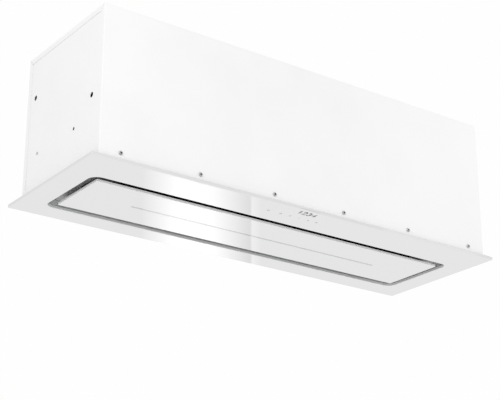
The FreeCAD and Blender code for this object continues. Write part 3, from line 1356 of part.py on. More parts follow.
def cable_gland():
    """The gland through the top, with its nut inside the control box."""
    nut_top = roof - box_wall
    body = turned("gland_turned", [
        (gland_bore, nut_top - gland_nut_rise),
        (gland_head, nut_top - gland_nut_rise),
        (gland_head, nut_top),
        (gland_radius, nut_top),
        (gland_radius, 0),
        (gland_head, 0),
        (gland_head, gland_rise / 2),
        (gland_radius, gland_rise),
        (gland_bore, gland_rise),
    ])
    group("cable_gland", copy_at("gland_placed", body, box_centre_x, box_centre_y, 0))


def supply_screw_places():
    """The supply unit's screws, one in each ear."""
    reach = (driver_length + ear_length) / 2
    return [(box_centre_x + side * reach, driver_centre_y) for side in (-1, 1)]


def clip_screw_places():
    """The clip's screws, one in each foot."""
    reach = capacitor_radius + clip_sheet + clip_foot / 2
    return [(capacitor_x, capacitor_y + side * reach) for side in (-1, 1)]


def light_supply():
    """The supply unit of the light line, with an ear at each end."""
    x = around(box_centre_x, driver_length)
    y = around(driver_centre_y, driver_width)
    case = block("supply_case", x, y, (roof - driver_height, roof))
    ears = block("supply_ears", around(box_centre_x, driver_length + 2 * ear_length),
                 around(driver_centre_y, ear_width), (roof - ear_thickness, roof))
    holes = [rod(f"supply_hole_{number}", "z", screw_hole, (roof - ear_thickness - PAST, roof + PAST), place)
             for number, place in enumerate(supply_screw_places())]
    cut("light_supply", fuse("supply_blank", case, ears), *holes)


def motor_capacitor():
    """The motor's run capacitor, held under the top by a clip."""
    centre = (capacitor_y, roof - clip_sheet - capacitor_radius)
    rod("motor_capacitor", "x", capacitor_radius, around(capacitor_x, capacitor_length), centre)
    span = around(capacitor_x, clip_width)
    band = rod("clip_band", "x", capacitor_radius + clip_sheet, span, centre)
    foot = block("clip_feet", span, around(capacitor_y, 2 * (capacitor_radius + clip_sheet + clip_foot)),
                 (roof - clip_sheet, roof))
    holes = [rod(f"clip_hole_{number}", "z", screw_hole, (roof - clip_sheet - PAST, roof + PAST), place)
             for number, place in enumerate(clip_screw_places())]
    cut("capacitor_clip", fuse("clip_blank", band, foot),
        rod("clip_bore", "x", capacitor_radius, around(capacitor_x, 2 * clip_width), centre), *holes)


def roof_screws():
    """Screws from below that hold the supply unit and the capacitor's clip to the top."""
    screw = pan_screw("roof_screw", roof_screw_length)
    levels = [roof - ear_thickness] * 2 + [roof - clip_sheet] * 2
    places = supply_screw_places() + clip_screw_places()
    group("roof_screws", *[copy_at(f"roof_screw_{number}", screw, x, y, levels[number], UPSIDE_DOWN)
                           for number, (x, y) in enumerate(places)])


# ---------------------------------------------------------------- build, check and write

NODES = (
    "housing_wrapper", "end_wall_left", "end_wall_right", "wall_screws", "end_screws", "hanger_rails",
    "face_glass", "face_carrier", "ceiling_seal", "touch_board", "suction_tray", "tray_screws",
    "filter_frame_left", "filter_frame_right", "filter_mesh_left", "filter_mesh_right",
    "filter_latch_left", "filter_latch_right", "latch_spring_left", "latch_spring_right",
    "panel_glass", "panel_carrier", "light_profile", "light_board", "light_diffuser",
    "hinge_brackets", "hinge_pins", "hinge_leaves", "catch_magnets", "striker_plates",
    "scroll_left", "scroll_right", "scroll_screws", "inlet_rings", "impeller",
    "motor_shell", "motor_end_cap", "motor_stator", "motor_windings", "motor_bearings", "motor_rotor",
    "motor_shaft", "motor_bracket", "motor_bushes", "motor_screws", "motor_capacitor", "capacitor_clip",
    "outlet_collar", "collar_screws", "flap_left", "flap_right", "flap_pin",
    "control_box", "control_box_lid", "control_board", "terminal_block", "cable_gland", "light_supply",
    "roof_screws",
)


def build():
    """Make every piece."""
    housing_wrapper()
    end_walls()
    wall_screws()
    end_screws()
    hanger_rails()
    face_glass()
    face_carrier()
    ceiling_seal()
    touch_board()
    suction_tray()
    tray_screws()
    for name, side in FILTER_SIDES:
        grease_filter(name, side)
        filter_latch(name, side)
        latch_spring(name, side)
    panel_glass()
    panel_carrier()
    light_line()
    light_diffuser()
    panel_hinges()
    panel_catches()
    scroll_half("scroll_left", -1)
    scroll_half("scroll_right", 1)
    scroll_screws()
    inlet_rings()
    impeller()
    motor()
    motor_mounting()
    outlet_collar()
    flap("flap_left", -1)
    flap("flap_right", 1)
    flap_pin()
    control_box()
    cable_gland()
    light_supply()
    motor_capacitor()
    roof_screws()
    document.recompute()


def check():
    """Stop if any object failed or any piece isn't a valid solid."""
    for item in document.Objects:
        if "Invalid" in item.State or "Error" in item.State:
            raise RuntimeError(f"{item.Name} failed: {item.State}")
    for name in NODES:
        shape = document.getObject(name).Shape
        if shape.isNull() or not shape.isValid() or not shape.Solids:
            raise RuntimeError(f"{name} isn't a valid solid")


def write():
    """Write each piece to a file of its own."""
    os.makedirs("parts", exist_ok=True)
    for name in NODES:
        document.getObject(name).Shape.exportStep(f"parts/{name}.step")


build()
check()
write()
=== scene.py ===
import bpy
import math
import random
from mathutils import Matrix, Vector


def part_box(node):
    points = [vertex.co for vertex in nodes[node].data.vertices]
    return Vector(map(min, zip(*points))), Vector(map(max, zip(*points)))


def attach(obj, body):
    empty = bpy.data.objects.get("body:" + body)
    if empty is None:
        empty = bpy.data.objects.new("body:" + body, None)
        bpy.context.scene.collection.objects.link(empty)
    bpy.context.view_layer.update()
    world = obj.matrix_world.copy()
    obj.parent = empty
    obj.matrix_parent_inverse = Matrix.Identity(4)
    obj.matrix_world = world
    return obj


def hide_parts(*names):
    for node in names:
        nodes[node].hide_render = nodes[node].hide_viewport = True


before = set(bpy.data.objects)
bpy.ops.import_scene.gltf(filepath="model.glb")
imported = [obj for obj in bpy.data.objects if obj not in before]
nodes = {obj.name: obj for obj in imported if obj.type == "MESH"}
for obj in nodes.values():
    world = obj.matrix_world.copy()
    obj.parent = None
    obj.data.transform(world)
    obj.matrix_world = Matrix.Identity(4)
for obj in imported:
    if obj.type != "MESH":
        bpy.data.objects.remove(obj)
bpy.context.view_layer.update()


# ---------------------------------------------------------------- housing and end walls
# Sheet steel, folded and screwed together, then powder coated in white. The powder flows out
# before it sets, so the coat is smooth but for a faint orange peel, with a satin gloss.

MM = 0.001


def linear(code):
    """A colour given as an sRGB hex code, turned to linear light."""
    parts = [int(code[place:place + 2], 16) / 255 for place in (1, 3, 5)]
    return (*[p / 12.92 if p <= 0.04045 else ((p + 0.055) / 1.055) ** 2.4 for p in parts], 1)


def feed(tree, item, inputs):
    """Give each socket of a node its value, or the socket that feeds it."""
    for name, value in inputs.items():
        if isinstance(value, bpy.types.NodeSocket):
            tree.links.new(value, item.inputs[name])
        else:
            item.inputs[name].default_value = value


def add(tree, kind, inputs=None, **settings):
    """Add a node with its settings, and feed its sockets."""
    item = tree.nodes.new(kind)
    for name, value in settings.items():
        setattr(item, name, value)
    feed(tree, item, inputs or {})
    return item


def new_material(name):
    """A new material, with its node tree and its shader."""
    made = bpy.data.materials.new(name)
    made.use_nodes = True
    return made, made.node_tree, made.node_tree.nodes["Principled BSDF"]


def coat(name, colours, patch, roughness, bumps, depth, **sockets):
    """A finish of two close colours in soft patches this many millimetres wide, with roughness that
    follows them, and a fine relief: its bumps' width and depth in millimetres."""
    made, tree, shader = new_material(name)
    feed(tree, shader, {socket.replace("_", " "): value for socket, value in sockets.items()})
    place = add(tree, "ShaderNodeTexCoord").outputs["Object"]
    patches = add(tree, "ShaderNodeTexNoise", {"Vector": place, "Scale": 1 / (patch * MM),
                                               "Detail": 3.0})
    tone = add(tree, "ShaderNodeMapRange", {"Value": patches.outputs["Fac"], "From Min": 0.3,
                                            "From Max": 0.7}).outputs["Result"]
    colour = add(tree, "ShaderNodeMix", {0: tone, 6: linear(colours[0]), 7: linear(colours[1])},
                 data_type="RGBA")
    dull = add(tree, "ShaderNodeMapRange", {"Value": tone, "To Min": roughness[0],
                                            "To Max": roughness[1]})
    grain = add(tree, "ShaderNodeTexNoise", {"Vector": place, "Scale": 1 / (bumps * MM),
                                             "Detail": 1.0})
    relief = add(tree, "ShaderNodeBump", {"Height": grain.outputs["Fac"], "Distance": depth * MM,
                                          "Strength": 0.6})
    feed(tree, shader, {"Base Color": colour.outputs[2], "Roughness": dull.outputs["Result"],
                        "Normal": relief.outputs["Normal"]})
    return made


def dress(made, *names):
    """Give nodes of the model one material."""
    for name in names:
        nodes[name].data.materials.clear()
        nodes[name].data.materials.append(made)


# powder coat: even and soft, with no direction, and a gentle light on the bends
powder_coat = coat("white_powder_coat", ("#f1f1f1", "#f4f4f4"), 120, (0.30, 0.38), 2.2, 0.03,
                   IOR=1.5)
dress(powder_coat, "housing_wrapper", "end_wall_left", "end_wall_right")


# ---------------------------------------------------------------- hanger rails
# Folded from hot-dip galvanised steel. The zinc freezes in crystals some 9 mm wide, each a little
# lighter and duller than the next.

def zinc_spangle(name, dark, bright):
    """Galvanised sheet: flat crystals of zinc, every one with its own tone and gloss."""
    made, tree, shader = new_material(name)
    feed(tree, shader, {"Metallic": 1.0})
    place = add(tree, "ShaderNodeTexCoord").outputs["Object"]
    wander = add(tree, "ShaderNodeTexNoise", {"Vector": place, "Scale": 1 / (6 * MM), "Detail": 2.0})
    bent = add(tree, "ShaderNodeVectorMath", {0: wander.outputs["Color"],
                                              1: (2 * MM, 2 * MM, 2 * MM)}, operation="MULTIPLY")
    moved = add(tree, "ShaderNodeVectorMath", {0: place, 1: bent.outputs["Vector"]}, operation="ADD")
    crystal = add(tree, "ShaderNodeTexVoronoi", {"Vector": moved.outputs["Vector"],
                                                 "Scale": 1 / (9 * MM)})
    tone = add(tree, "ShaderNodeSeparateColor", {"Color": crystal.outputs["Color"]}).outputs["Red"]
    colour = add(tree, "ShaderNodeMix", {0: tone, 6: linear(dark), 7: linear(bright)},
                 data_type="RGBA")
    dull = add(tree, "ShaderNodeMapRange", {"Value": tone, "To Min": 0.5, "To Max": 0.34})
    grain = add(tree, "ShaderNodeTexNoise", {"Vector": place, "Scale": 1 / (1.2 * MM)})
    relief = add(tree, "ShaderNodeBump", {"Height": grain.outputs["Fac"], "Distance": 0.02 * MM,
                                          "Strength": 0.5})
    feed(tree, shader, {"Base Color": colour.outputs[2], "Roughness": dull.outputs["Result"],
                        "Normal": relief.outputs["Normal"]})
    return made


# hot-dip zinc: a cool grey metal that glitters in facets
galvanised = zinc_spangle("galvanised_steel", "#a0a3a6", "#bcbfc1")
dress(galvanised, "hanger_rails")


# ---------------------------------------------------------------- screws
# Pan-head screws of zinc-plated steel with a cross recess, pressed and then barrel plated. Twelve
# of them hold the long walls to the frame below.

# zinc plate: bright with fine knocks from the barrel
zinc_plate = coat("zinc_plated_steel", ("#b2b3b5", "#cfd0d2"), 0.9, (0.22, 0.36), 0.5, 0.02,
                  Metallic=1.0)
dress(zinc_plate, "end_screws", "tray_screws", "collar_screws", "scroll_screws", "motor_screws",
      "roof_screws", "striker_plates")


def new_piece(name, points, faces, material, body, smooth=True):
    """A mesh piece in the shared frame that rides on a body."""
    mesh = bpy.data.meshes.new(name)
    mesh.from_pydata(points, [], faces)
    mesh.validate()
    mesh.update()
    item = bpy.data.objects.new(name, mesh)
    bpy.context.scene.collection.objects.link(item)
    if smooth:
        mesh.shade_smooth()
    mesh.materials.append(material)
    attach(item, body)
    return item


# painted shade: the cross recess is drawn a dull dark grey for the shade that falls in it
recess_painted_shade = coat("screw_recess_painted_shade", ("#48494b", "#5f6062"), 0.6, (0.4, 0.55), 0.3, 0.02,
                    Metallic=1.0)


def recess_depth(across, up, radius):
    """Share of the cross recess's full depth at a point of the head, and 0 outside it."""
    arm_half, arm_end = 0.20 * radius, 0.66 * radius
    near, far = sorted((abs(across), abs(up)))
    inside = min(arm_half - near, (arm_end - far) * 0.6)
    return max(0.0, min(1.0, inside / (0.07 * radius)))


def head_height(across, up, radius, rise):
    """Height of a pan head above its seat, with the cross recess that narrows as it goes down."""
    reach = math.hypot(across, up)
    edge = min(1.0, (1 - reach / radius) / 0.25)
    shoulder = math.sqrt(max(0.0, edge * (2 - edge)))
    dome = rise * (0.40 + 0.60 * shoulder - 0.10 * (reach / radius) ** 2)
    return dome - recess_depth(across, up, radius) * 0.75 * rise * (1 - 0.75 * reach / radius)


def pan_screw(radius, rise, shank, length):
    """Points and faces of one screw about its axis: head, seat and shank."""
    around, rings = 64, 24
    profile = [(radius * ring / rings, None) for ring in range(1, rings + 1)]
    profile += [(radius, 0), (shank, 0), (shank, -length)]
    points = [(0, 0, head_height(0, 0, radius, rise))]
    for reach, height in profile:
        for step in range(around):
            angle = 2 * math.pi * step / around
            across, up = reach * math.cos(angle), reach * math.sin(angle)
            level = head_height(across, up, radius, rise) if height is None else height
            points.append((across, up, level))
    points.append((0, 0, -length))
    faces = [(0, 1 + step, 1 + (step + 1) % around) for step in range(around)]
    for row in range(len(profile) - 1):
        first = 1 + row * around
        for step in range(around):
            after = (step + 1) % around
            faces.append((first + step, first + around + step,
                          first + around + after, first + after))
    last = 1 + (len(profile) - 1) * around
    faces += [(last + (step + 1) % around, last + step, len(points) - 1) for step in range(around)]
    return points, faces


low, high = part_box("wall_screws")
head_rise, shank_radius, shank_length = 2.4 * MM, 1.95 * MM, 6 * MM
head_radius = (high.z - low.z) / 2
screws_per_wall = 6
pitch = (high.x - low.x - 2 * head_radius) / (screws_per_wall - 1)
screw_points, screw_faces = pan_screw(head_radius, head_rise, shank_radius, shank_length)
in_recess = []
for face in screw_faces:
    middle = sum((Vector(screw_points[index]) for index in face), Vector()) / len(face)
    in_recess.append(middle.z > 0 and recess_depth(middle.x, middle.y, head_radius) > 0.1)
hand_turns = random.Random(7)
points, faces = [], []
for seat, tilt in ((low.y + head_rise, math.radians(90)), (high.y - head_rise, math.radians(-90))):
    for number in range(screws_per_wall):
        spot = Vector((low.x + head_radius + number * pitch, seat, (low.z + high.z) / 2))
        hand_turn = hand_turns.uniform(0, math.pi / 2)
        turn = Matrix.Rotation(tilt, 4, "X") @ Matrix.Rotation(hand_turn, 4, "Z")
        faces += [tuple(index + len(points) for index in face) for face in screw_faces]
        points += [spot + turn @ Vector(point) for point in screw_points]
wall_screws = new_piece("wall_screw_set", points, faces, zinc_plate, "housing")
wall_screws.data.materials.append(recess_painted_shade)
# faces in the cross recess take the painted shade
for face in wall_screws.data.polygons:
    face.material_index = int(in_recess[face.index % len(screw_faces)])
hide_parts("wall_screws")


# ---------------------------------------------------------------- glass face and centre panel
# Toughened float glass, back painted white, its rim ground and polished. Both panes are bonded to
# galvanised steel, and a strip of foam seals the face against the ceiling. The rims are drawn in
# their own tones, with painted shade on the face's rim and painted light on the panel's.

def painted_glass(name, paint, rim, roughness):
    """Glass painted on its back: the paint lies under a mirror-smooth face. The rim, picked out by
    its normal, takes its own colour, which carries painted shade on the face and painted light on the
    panel.
    """
    made, tree, shader = new_material(name)
    feed(tree, shader, {"IOR": 1.52})
    place = add(tree, "ShaderNodeTexCoord")
    # the rim is found by its normal and given its own colour, painted shade or light on the upright
    # faces
    upright = add(tree, "ShaderNodeSeparateXYZ", {"Vector": place.outputs["Normal"]}).outputs["Z"]
    level = add(tree, "ShaderNodeMath", {0: upright}, operation="ABSOLUTE").outputs["Value"]
    faced = add(tree, "ShaderNodeMapRange", {"Value": level, "From Min": 0.3, "From Max": 0.9})
    colour = add(tree, "ShaderNodeMix", {0: faced.outputs["Result"], 6: linear(rim),
                                         7: linear(paint)}, data_type="RGBA")
    smears = add(tree, "ShaderNodeTexNoise", {"Vector": place.outputs["Object"],
                                              "Scale": 1 / (160 * MM), "Detail": 3.0})
    dull = add(tree, "ShaderNodeMapRange", {"Value": smears.outputs["Fac"], "To Min": roughness[0],
                                            "To Max": roughness[1]})
    feed(tree, shader, {"Base Color": colour.outputs[2], "Roughness": dull.outputs["Result"]})
    return made


# back-painted glass: a deep even white that mirrors the room at a flat angle; its ground rim is drawn
# darker, partly as painted shade for the light the upright rim catches
white_glass = painted_glass("back_painted_glass", "#ececec", "#dadbda", (0.015, 0.04))
dress(white_glass, "face_glass")

# painted light: the panel's rim is drawn a brighter white than the face, so that it stays clear
# inside the dark slot
panel_glass_lit_rim = painted_glass("glass_painted_light_rim", "#ececec", "#f6f6f6", (0.015, 0.04))
dress(panel_glass_lit_rim, "panel_glass")
dress(galvanised, "face_carrier", "panel_carrier")

# polyethylene foam: white, matt, with pores of about half a millimetre
foam = coat("closed_cell_foam", ("#e0e0df", "#e9e9e8"), 0.7, (0.8, 0.95), 0.5, 0.2, IOR=1.5)
dress(foam, "ceiling_seal")


# ---------------------------------------------------------------- printed touch marks
# Screen printed in grey on the glass: six touch symbols in a row, and a scale of four numbers
# with a line over it.

# ceramic ink: flat and dull, a hair thick
print_ink = coat("screen_print_ink", ("#4c4e50", "#5a5c5e"), 0.4, (0.45, 0.6), 0.2, 0.005, IOR=1.5)
film = 0.005 * MM


def printed(name, strokes, width, level):
    """Printed lines on the underside of the glass; a stroke is a list of points in its plane."""
    points, faces = [], []
    for line in strokes:
        first = len(points)
        for number, spot in enumerate(line):
            before, after = line[max(0, number - 1)], line[min(len(line) - 1, number + 1)]
            along = (Vector(after) - Vector(before)).normalized() * width / 2
            for side in (-1, 1):
                edge = (spot[0] - side * along.y, spot[1] + side * along.x)
                points += [(*edge, level - drop) for drop in (0, film)]
        for number in range(len(line) - 1):
            here, there = first + 4 * number, first + 4 * number + 4
            faces += [(here + one, here + two, there + two, there + one)
                      for one, two in ((0, 1), (1, 3), (3, 2), (2, 0))]
        last = len(points) - 4
        faces += [(first, first + 2, first + 3, first + 1), (last, last + 1, last + 3, last + 2)]
    return new_piece(name, points, faces, print_ink, "housing", smooth=False)


def arc(x, y, radius, begin, end):
    """Points on an arc between two angles in degrees, which turn from right to up."""
    angles = [math.radians(begin + (end - begin) * step / 20) for step in range(21)]
    return [(x + radius * math.cos(angle), y + radius * math.sin(angle)) for angle in angles]


POWER = [arc(0, 0, 0.5, 125, 415), [(0, 0.1), (0, 0.6)]]
MINUS = [[(-0.5, 0), (0.5, 0)]]
PLUS = MINUS + [[(0, -0.5), (0, 0.5)]]
FAN = [arc(0.25 * math.cos(turn), 0.25 * math.sin(turn), 0.25, math.degrees(turn) + 180,
           math.degrees(turn) + 360) for turn in (math.pi / 2, math.pi * 7 / 6, math.pi * 11 / 6)]
LAMP = [arc(0, 0, 0.24, 0, 360)] + [[(0.36 * math.cos(ray), 0.36 * math.sin(ray)),
                                     (0.55 * math.cos(ray), 0.55 * math.sin(ray))]
                                    for ray in (math.pi / 4 * step for step in range(8))]
TIMER = [arc(0, 0, 0.5, 0, 360), [(0, 0.32), (0, 0), (0.26, 0)]]
NUMBERS = ([[(0.2, 0.8), (0.5, 1), (0.5, 0)]],
           [arc(0.4, 0.66, 0.32, 160, -40) + [(0.05, 0), (0.8, 0)]],
           [arc(0.38, 0.74, 0.25, 150, -70) + arc(0.38, 0.27, 0.28, 70, -150)],
           [[(0.62, 0), (0.62, 1), (0.02, 0.28), (0.85, 0.28)]])


def set_out(strokes, x, y, size):
    """Strokes of unit size put on the glass; up on the mark is away from the panel."""
    return [[(x + across * size, y - up * size) for across, up in line] for line in strokes]


print_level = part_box("face_glass")[0].z
key_row, key_size = -120 * MM, 5 * MM
key_stroke, number_stroke = 0.8 * MM, 2.9 * MM
key_marks = ((-80.1, POWER), (-49.3, TIMER), (-26.5, FAN), (-4.1, MINUS), (19.2, PLUS),
             (40.3, LAMP))
strokes = []
for x, mark in key_marks:
    strokes += set_out(mark, x * MM, key_row, key_size)
printed("touch_marks", strokes, key_stroke, print_level)

scale_start, scale_pitch = -28.2 * MM, 11.7 * MM
scale_row, number_size = -141.2 * MM, 13.6 * MM
strokes = []
for number, mark in enumerate(NUMBERS):
    strokes += set_out(mark, scale_start + number * scale_pitch, scale_row, number_size)
printed("number_scale", strokes, number_stroke, print_level)


def block(low, high):
    """Points and faces of a box between two opposite corners."""
    points = [Vector((x, y, z)) for z in (low[2], high[2]) for y in (low[1], high[1])
              for x in (low[0], high[0])]
    return points, [(0, 2, 3, 1), (4, 5, 7, 6), (0, 1, 5, 4),
                    (2, 6, 7, 3), (0, 4, 6, 2), (1, 3, 7, 5)]


# the line runs along the middle of the rim, over the numbers, in a paler ink
rim_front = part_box("face_glass")[0].y
half_stroke, line_level = 0.45 * MM, -317.3 * MM
line_start, line_end = -29.5 * MM, 18 * MM
points, faces = block((line_start, rim_front - film, line_level - half_stroke),
                      (line_end, rim_front, line_level + half_stroke))
pale_ink = coat("pale_print_ink", ("#b4b6b8", "#bcbec0"), 0.4, (0.45, 0.6), 0.2, 0.005, IOR=1.5)
new_piece("scale_line", points, faces, pale_ink, "housing", smooth=False)


# ---------------------------------------------------------------- circuit boards
# Glass-fibre laminate with copper tracks under green solder mask. The tracks stand out a little
# lighter, in rows; the lamp's board is white to throw its light down.

def solder_mask(name, mask, track, cell, row, gap):
    """A board with rows of tracks: cells this long and deep, this far apart, in millimetres."""
    made, tree, shader = new_material(name)
    feed(tree, shader, {"Roughness": 0.35})
    place = add(tree, "ShaderNodeTexCoord").outputs["Object"]
    tracks = add(tree, "ShaderNodeTexBrick",
                 {"Vector": place, "Scale": 1.0, "Mortar Size": gap * MM, "Brick Width": cell * MM,
                  "Row Height": row * MM, "Color1": linear(mask), "Color2": linear(mask),
                  "Mortar": linear(track)})
    relief = add(tree, "ShaderNodeBump", {"Height": tracks.outputs["Fac"], "Distance": 0.04 * MM})
    feed(tree, shader, {"Base Color": tracks.outputs["Color"], "Normal": relief.outputs["Normal"]})
    return made


# green mask: glossy and dark, its tracks a paler green
green_board = solder_mask("green_solder_mask", "#0f4e30", "#1d7048", 9, 2.4, 0.35)
dress(green_board, "touch_board", "control_board")

# white mask: bright and slightly warm, cut by the gaps between the lamp's groups of diodes
white_board = solder_mask("white_solder_mask", "#ecebe6", "#d3d1c8", 26.1, 4, 0.4)
dress(white_board, "light_board")


# ---------------------------------------------------------------- suction tray
# A pan of sheet steel behind the slot, with a ledge and the pockets of the filters, coated grey.
# The hinge brackets and leaves are pressed from galvanised sheet.

# grey coat: matt, so that the slot shows it as a soft grey
tray_coat = coat("grey_powder_coat", ("#c4c6c6", "#cbcdcd"), 90, (0.45, 0.55), 1.6, 0.03, IOR=1.5)
dress(tray_coat, "suction_tray")
dress(galvanised, "hinge_brackets", "hinge_leaves")


# ---------------------------------------------------------------- grease filters
# Folded aluminium frames round packs of expanded aluminium: two open outer layers over a core of
# fine ones. The latch is moulded plastic on a coil spring. Frames and packs are drawn near black,
# painted shade for the dark behind the slot.

# painted shade: frames and outer layers drawn a deep matt black for the dark behind the slot, a
# little lighter on their grain
filter_shade_black = coat("filter_black_painted_shade", ("#0b0b0c", "#101112"), 25, (0.5, 0.65), 0.6, 0.03, IOR=1.4)
dress(filter_shade_black, "filter_frame_left", "filter_frame_right")

# fine expanded layers: too fine to see one by one, so they are drawn as 1.6 mm diamonds, near black
# as painted shade like the frames
shaded_mesh_layers, tree, shader = new_material("mesh_layers_painted_shade")
place = add(tree, "ShaderNodeTexCoord").outputs["Object"]
turned = add(tree, "ShaderNodeMapping", {"Vector": place, "Rotation": (0, 0, math.radians(45))})
weave = add(tree, "ShaderNodeTexChecker", {"Vector": turned.outputs["Vector"],
                                           "Scale": 1 / (1.6 * MM),
                                           "Color1": linear("#040404"), "Color2": linear("#141516")})
relief = add(tree, "ShaderNodeBump", {"Height": weave.outputs["Fac"], "Distance": 0.4 * MM})
feed(tree, shader, {"Metallic": 0.4, "Roughness": 0.65, "Base Color": weave.outputs["Color"],
                    "Normal": relief.outputs["Normal"]})


def strand_layer(points, faces, start, across, deep, level, mesh_long, mesh_short):
    """Expanded metal: zigzag strands that meet their neighbours, turned a little out of its plane."""
    strand, sheet, tilt = 1.3 * MM, 0.5 * MM, math.radians(28)
    rows, stations = int(2 * deep / mesh_short), int(2 * across / mesh_long)
    out = Vector((0, math.cos(tilt), math.sin(tilt))) * strand / 2
    up = Vector((0, -math.sin(tilt), math.cos(tilt))) * sheet / 2
    for row in range(rows):
        first = len(points)
        middle = start.y + (row + 0.5) * deep / rows
        for station in range(stations + 1):
            swing = (1 if (row + station) % 2 else -1) * deep / rows / 2
            spot = Vector((start.x + across * station / stations, middle + swing, level))
            points += [spot - out - up, spot + out - up, spot + out + up, spot - out + up]
        for station in range(stations):
            here, there = first + 4 * station, first + 4 * station + 4
            faces += [(here + one, here + (one + 1) % 4, there + (one + 1) % 4, there + one)
                      for one in range(4)]
        last = len(points) - 4
        faces += [(first + 3, first + 2, first + 1, first), (last, last + 1, last + 2, last + 3)]


margin, layer, core = 0.6 * MM, 0.7 * MM, 1.8 * MM
mesh_long, mesh_short = 10 * MM, 6.4 * MM
for side in ("left", "right"):
    low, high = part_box(f"filter_mesh_{side}")
    across, deep = high.x - low.x, high.y - low.y - 2 * margin
    points, faces = [], []
    for level in (low.z + layer, high.z - layer):
        strand_layer(points, faces, low + Vector((0, margin, 0)), across, deep, level,
                     mesh_long, mesh_short)
    outer_faces, first = len(faces), len(points)
    core_points, core_faces = block((low.x, low.y, low.z + core), (high.x, high.y, high.z - core))
    points += core_points
    faces += [tuple(first + index for index in face) for face in core_faces]
    pack = new_piece(f"filter_pack_{side}", points, faces, filter_shade_black, "housing",
                     smooth=False)
    pack.data.materials.append(shaded_mesh_layers)
    for face in pack.data.polygons[outer_faces:]:
        face.material_index = 1
    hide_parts(f"filter_mesh_{side}")

# moulded polypropylene: dark and dull, with the fine spark texture of its mould
black_plastic = coat("moulded_black_plastic", ("#1a1b1d", "#212325"), 30, (0.42, 0.56), 0.6, 0.04,
                     IOR=1.49)
dress(black_plastic, "filter_latch_left", "filter_latch_right")

# drawn spring steel and ground shafts: bright, with faint streaks
bright_steel = coat("drawn_steel", ("#7d8084", "#a4a7ab"), 0.8, (0.2, 0.32), 0.4, 0.01, Metallic=1.0)
dress(bright_steel, "latch_spring_left", "latch_spring_right", "hinge_pins", "motor_shaft",
      "flap_pin", "motor_bearings")


# ---------------------------------------------------------------- light line in the panel
# A strip of opal polycarbonate in a slot of the glass, and over it an extruded aluminium profile
# that holds the board with its diodes.

# opal polycarbonate, unlit: milky and faintly green, polished nearly like the glass round it
opal = coat("opal_polycarbonate", ("#c4c8c4", "#cbcfcb"), 40, (0.02, 0.05), 0.5, 0.0005, IOR=1.585,
            Subsurface_Weight=0.3, Subsurface_Radius=(1, 1, 1), Subsurface_Scale=1.5 * MM)
dress(opal, "light_diffuser")

# anodised extrusion: satin, with die lines along its length, 0.5 mm apart
anodised, tree, shader = new_material("anodised_aluminium")
place = add(tree, "ShaderNodeTexCoord").outputs["Object"]
drawn_out = add(tree, "ShaderNodeMapping", {"Vector": place, "Scale": (0.01, 1, 1)})
die_lines = add(tree, "ShaderNodeTexNoise", {"Vector": drawn_out.outputs["Vector"],
                                             "Scale": 1 / (0.5 * MM), "Detail": 3.0})
colour = add(tree, "ShaderNodeMix", {0: die_lines.outputs["Fac"], 6: linear("#b4b6b8"),
                                     7: linear("#cfd1d3")}, data_type="RGBA")
dull = add(tree, "ShaderNodeMapRange", {"Value": die_lines.outputs["Fac"], "To Min": 0.25,
                                        "To Max": 0.4})
relief = add(tree, "ShaderNodeBump", {"Height": die_lines.outputs["Fac"], "Distance": 0.02 * MM})
feed(tree, shader, {"Metallic": 1.0, "Base Color": colour.outputs[2],
                    "Roughness": dull.outputs["Result"], "Normal": relief.outputs["Normal"]})
dress(anodised, "light_profile")


# ---------------------------------------------------------------- catches
# Two blocks of sintered ferrite, pressed and fired, sit under the tray's ledge and hold the panel
# by its strikers. Those are stamped from sheet steel and zinc plated like the screws.

# sintered ferrite: dull dark grey, with pores about 0.7 mm apart
ferrite = coat("sintered_ferrite", ("#2b2c2e", "#3c3d40"), 2, (0.6, 0.8), 0.7, 0.05, IOR=1.6)
dress(ferrite, "catch_magnets")


# ---------------------------------------------------------------- blower
# Two moulded halves of grey flame-proof plastic round a wheel of folded galvanised blades. The
# same plastic makes the boxes, the capacitor's case and the terminals.

# moulded ABS: mid grey with a fine spark texture, slightly uneven in gloss
grey_plastic = coat("moulded_grey_plastic", ("#6a6d70", "#74777a"), 45, (0.45, 0.6), 0.6, 0.04,
                    IOR=1.53)
dress(grey_plastic, "scroll_left", "scroll_right", "inlet_rings", "motor_capacitor", "control_box",
      "control_box_lid", "light_supply", "terminal_block")
dress(galvanised, "impeller", "motor_bracket", "capacitor_clip")


# ---------------------------------------------------------------- motor
# Die-cast shell and cap, a stack of stamped steel sheets with windings of enamelled copper, and
# rubber bushes between its bracket and the casing.

# die-cast aluminium: pale, with the soft ripple of metal that froze in the mould
die_cast = coat("die_cast_aluminium", ("#9fa1a3", "#b4b6b8"), 8, (0.4, 0.58), 0.9, 0.05, Metallic=1.0)
dress(die_cast, "motor_shell", "motor_end_cap")


def banded(name, low_code, high_code, period, depth, metallic):
    """Bands across X this many millimetres apart, low and dark between them."""
    made, tree, shader = new_material(name)
    feed(tree, shader, {"Metallic": metallic, "Roughness": 0.38})
    place = add(tree, "ShaderNodeTexCoord").outputs["Object"]
    bands = add(tree, "ShaderNodeTexWave", {"Vector": place, "Scale": math.pi / 10 / (period * MM),
                                            "Distortion": 0.3}, bands_direction="X")
    colour = add(tree, "ShaderNodeMix", {0: bands.outputs["Fac"], 6: linear(low_code),
                                         7: linear(high_code)}, data_type="RGBA")
    relief = add(tree, "ShaderNodeBump", {"Height": bands.outputs["Fac"], "Distance": depth * MM})
    feed(tree, shader, {"Base Color": colour.outputs[2], "Normal": relief.outputs["Normal"]})
    return made


# stamped sheets: half a millimetre thick each, drawn as lines 1.5 mm apart so that they show
laminations = banded("stacked_steel_sheets", "#55585c", "#8a8d92", 1.5, 0.1, 1.0)
dress(laminations, "motor_stator", "motor_rotor")

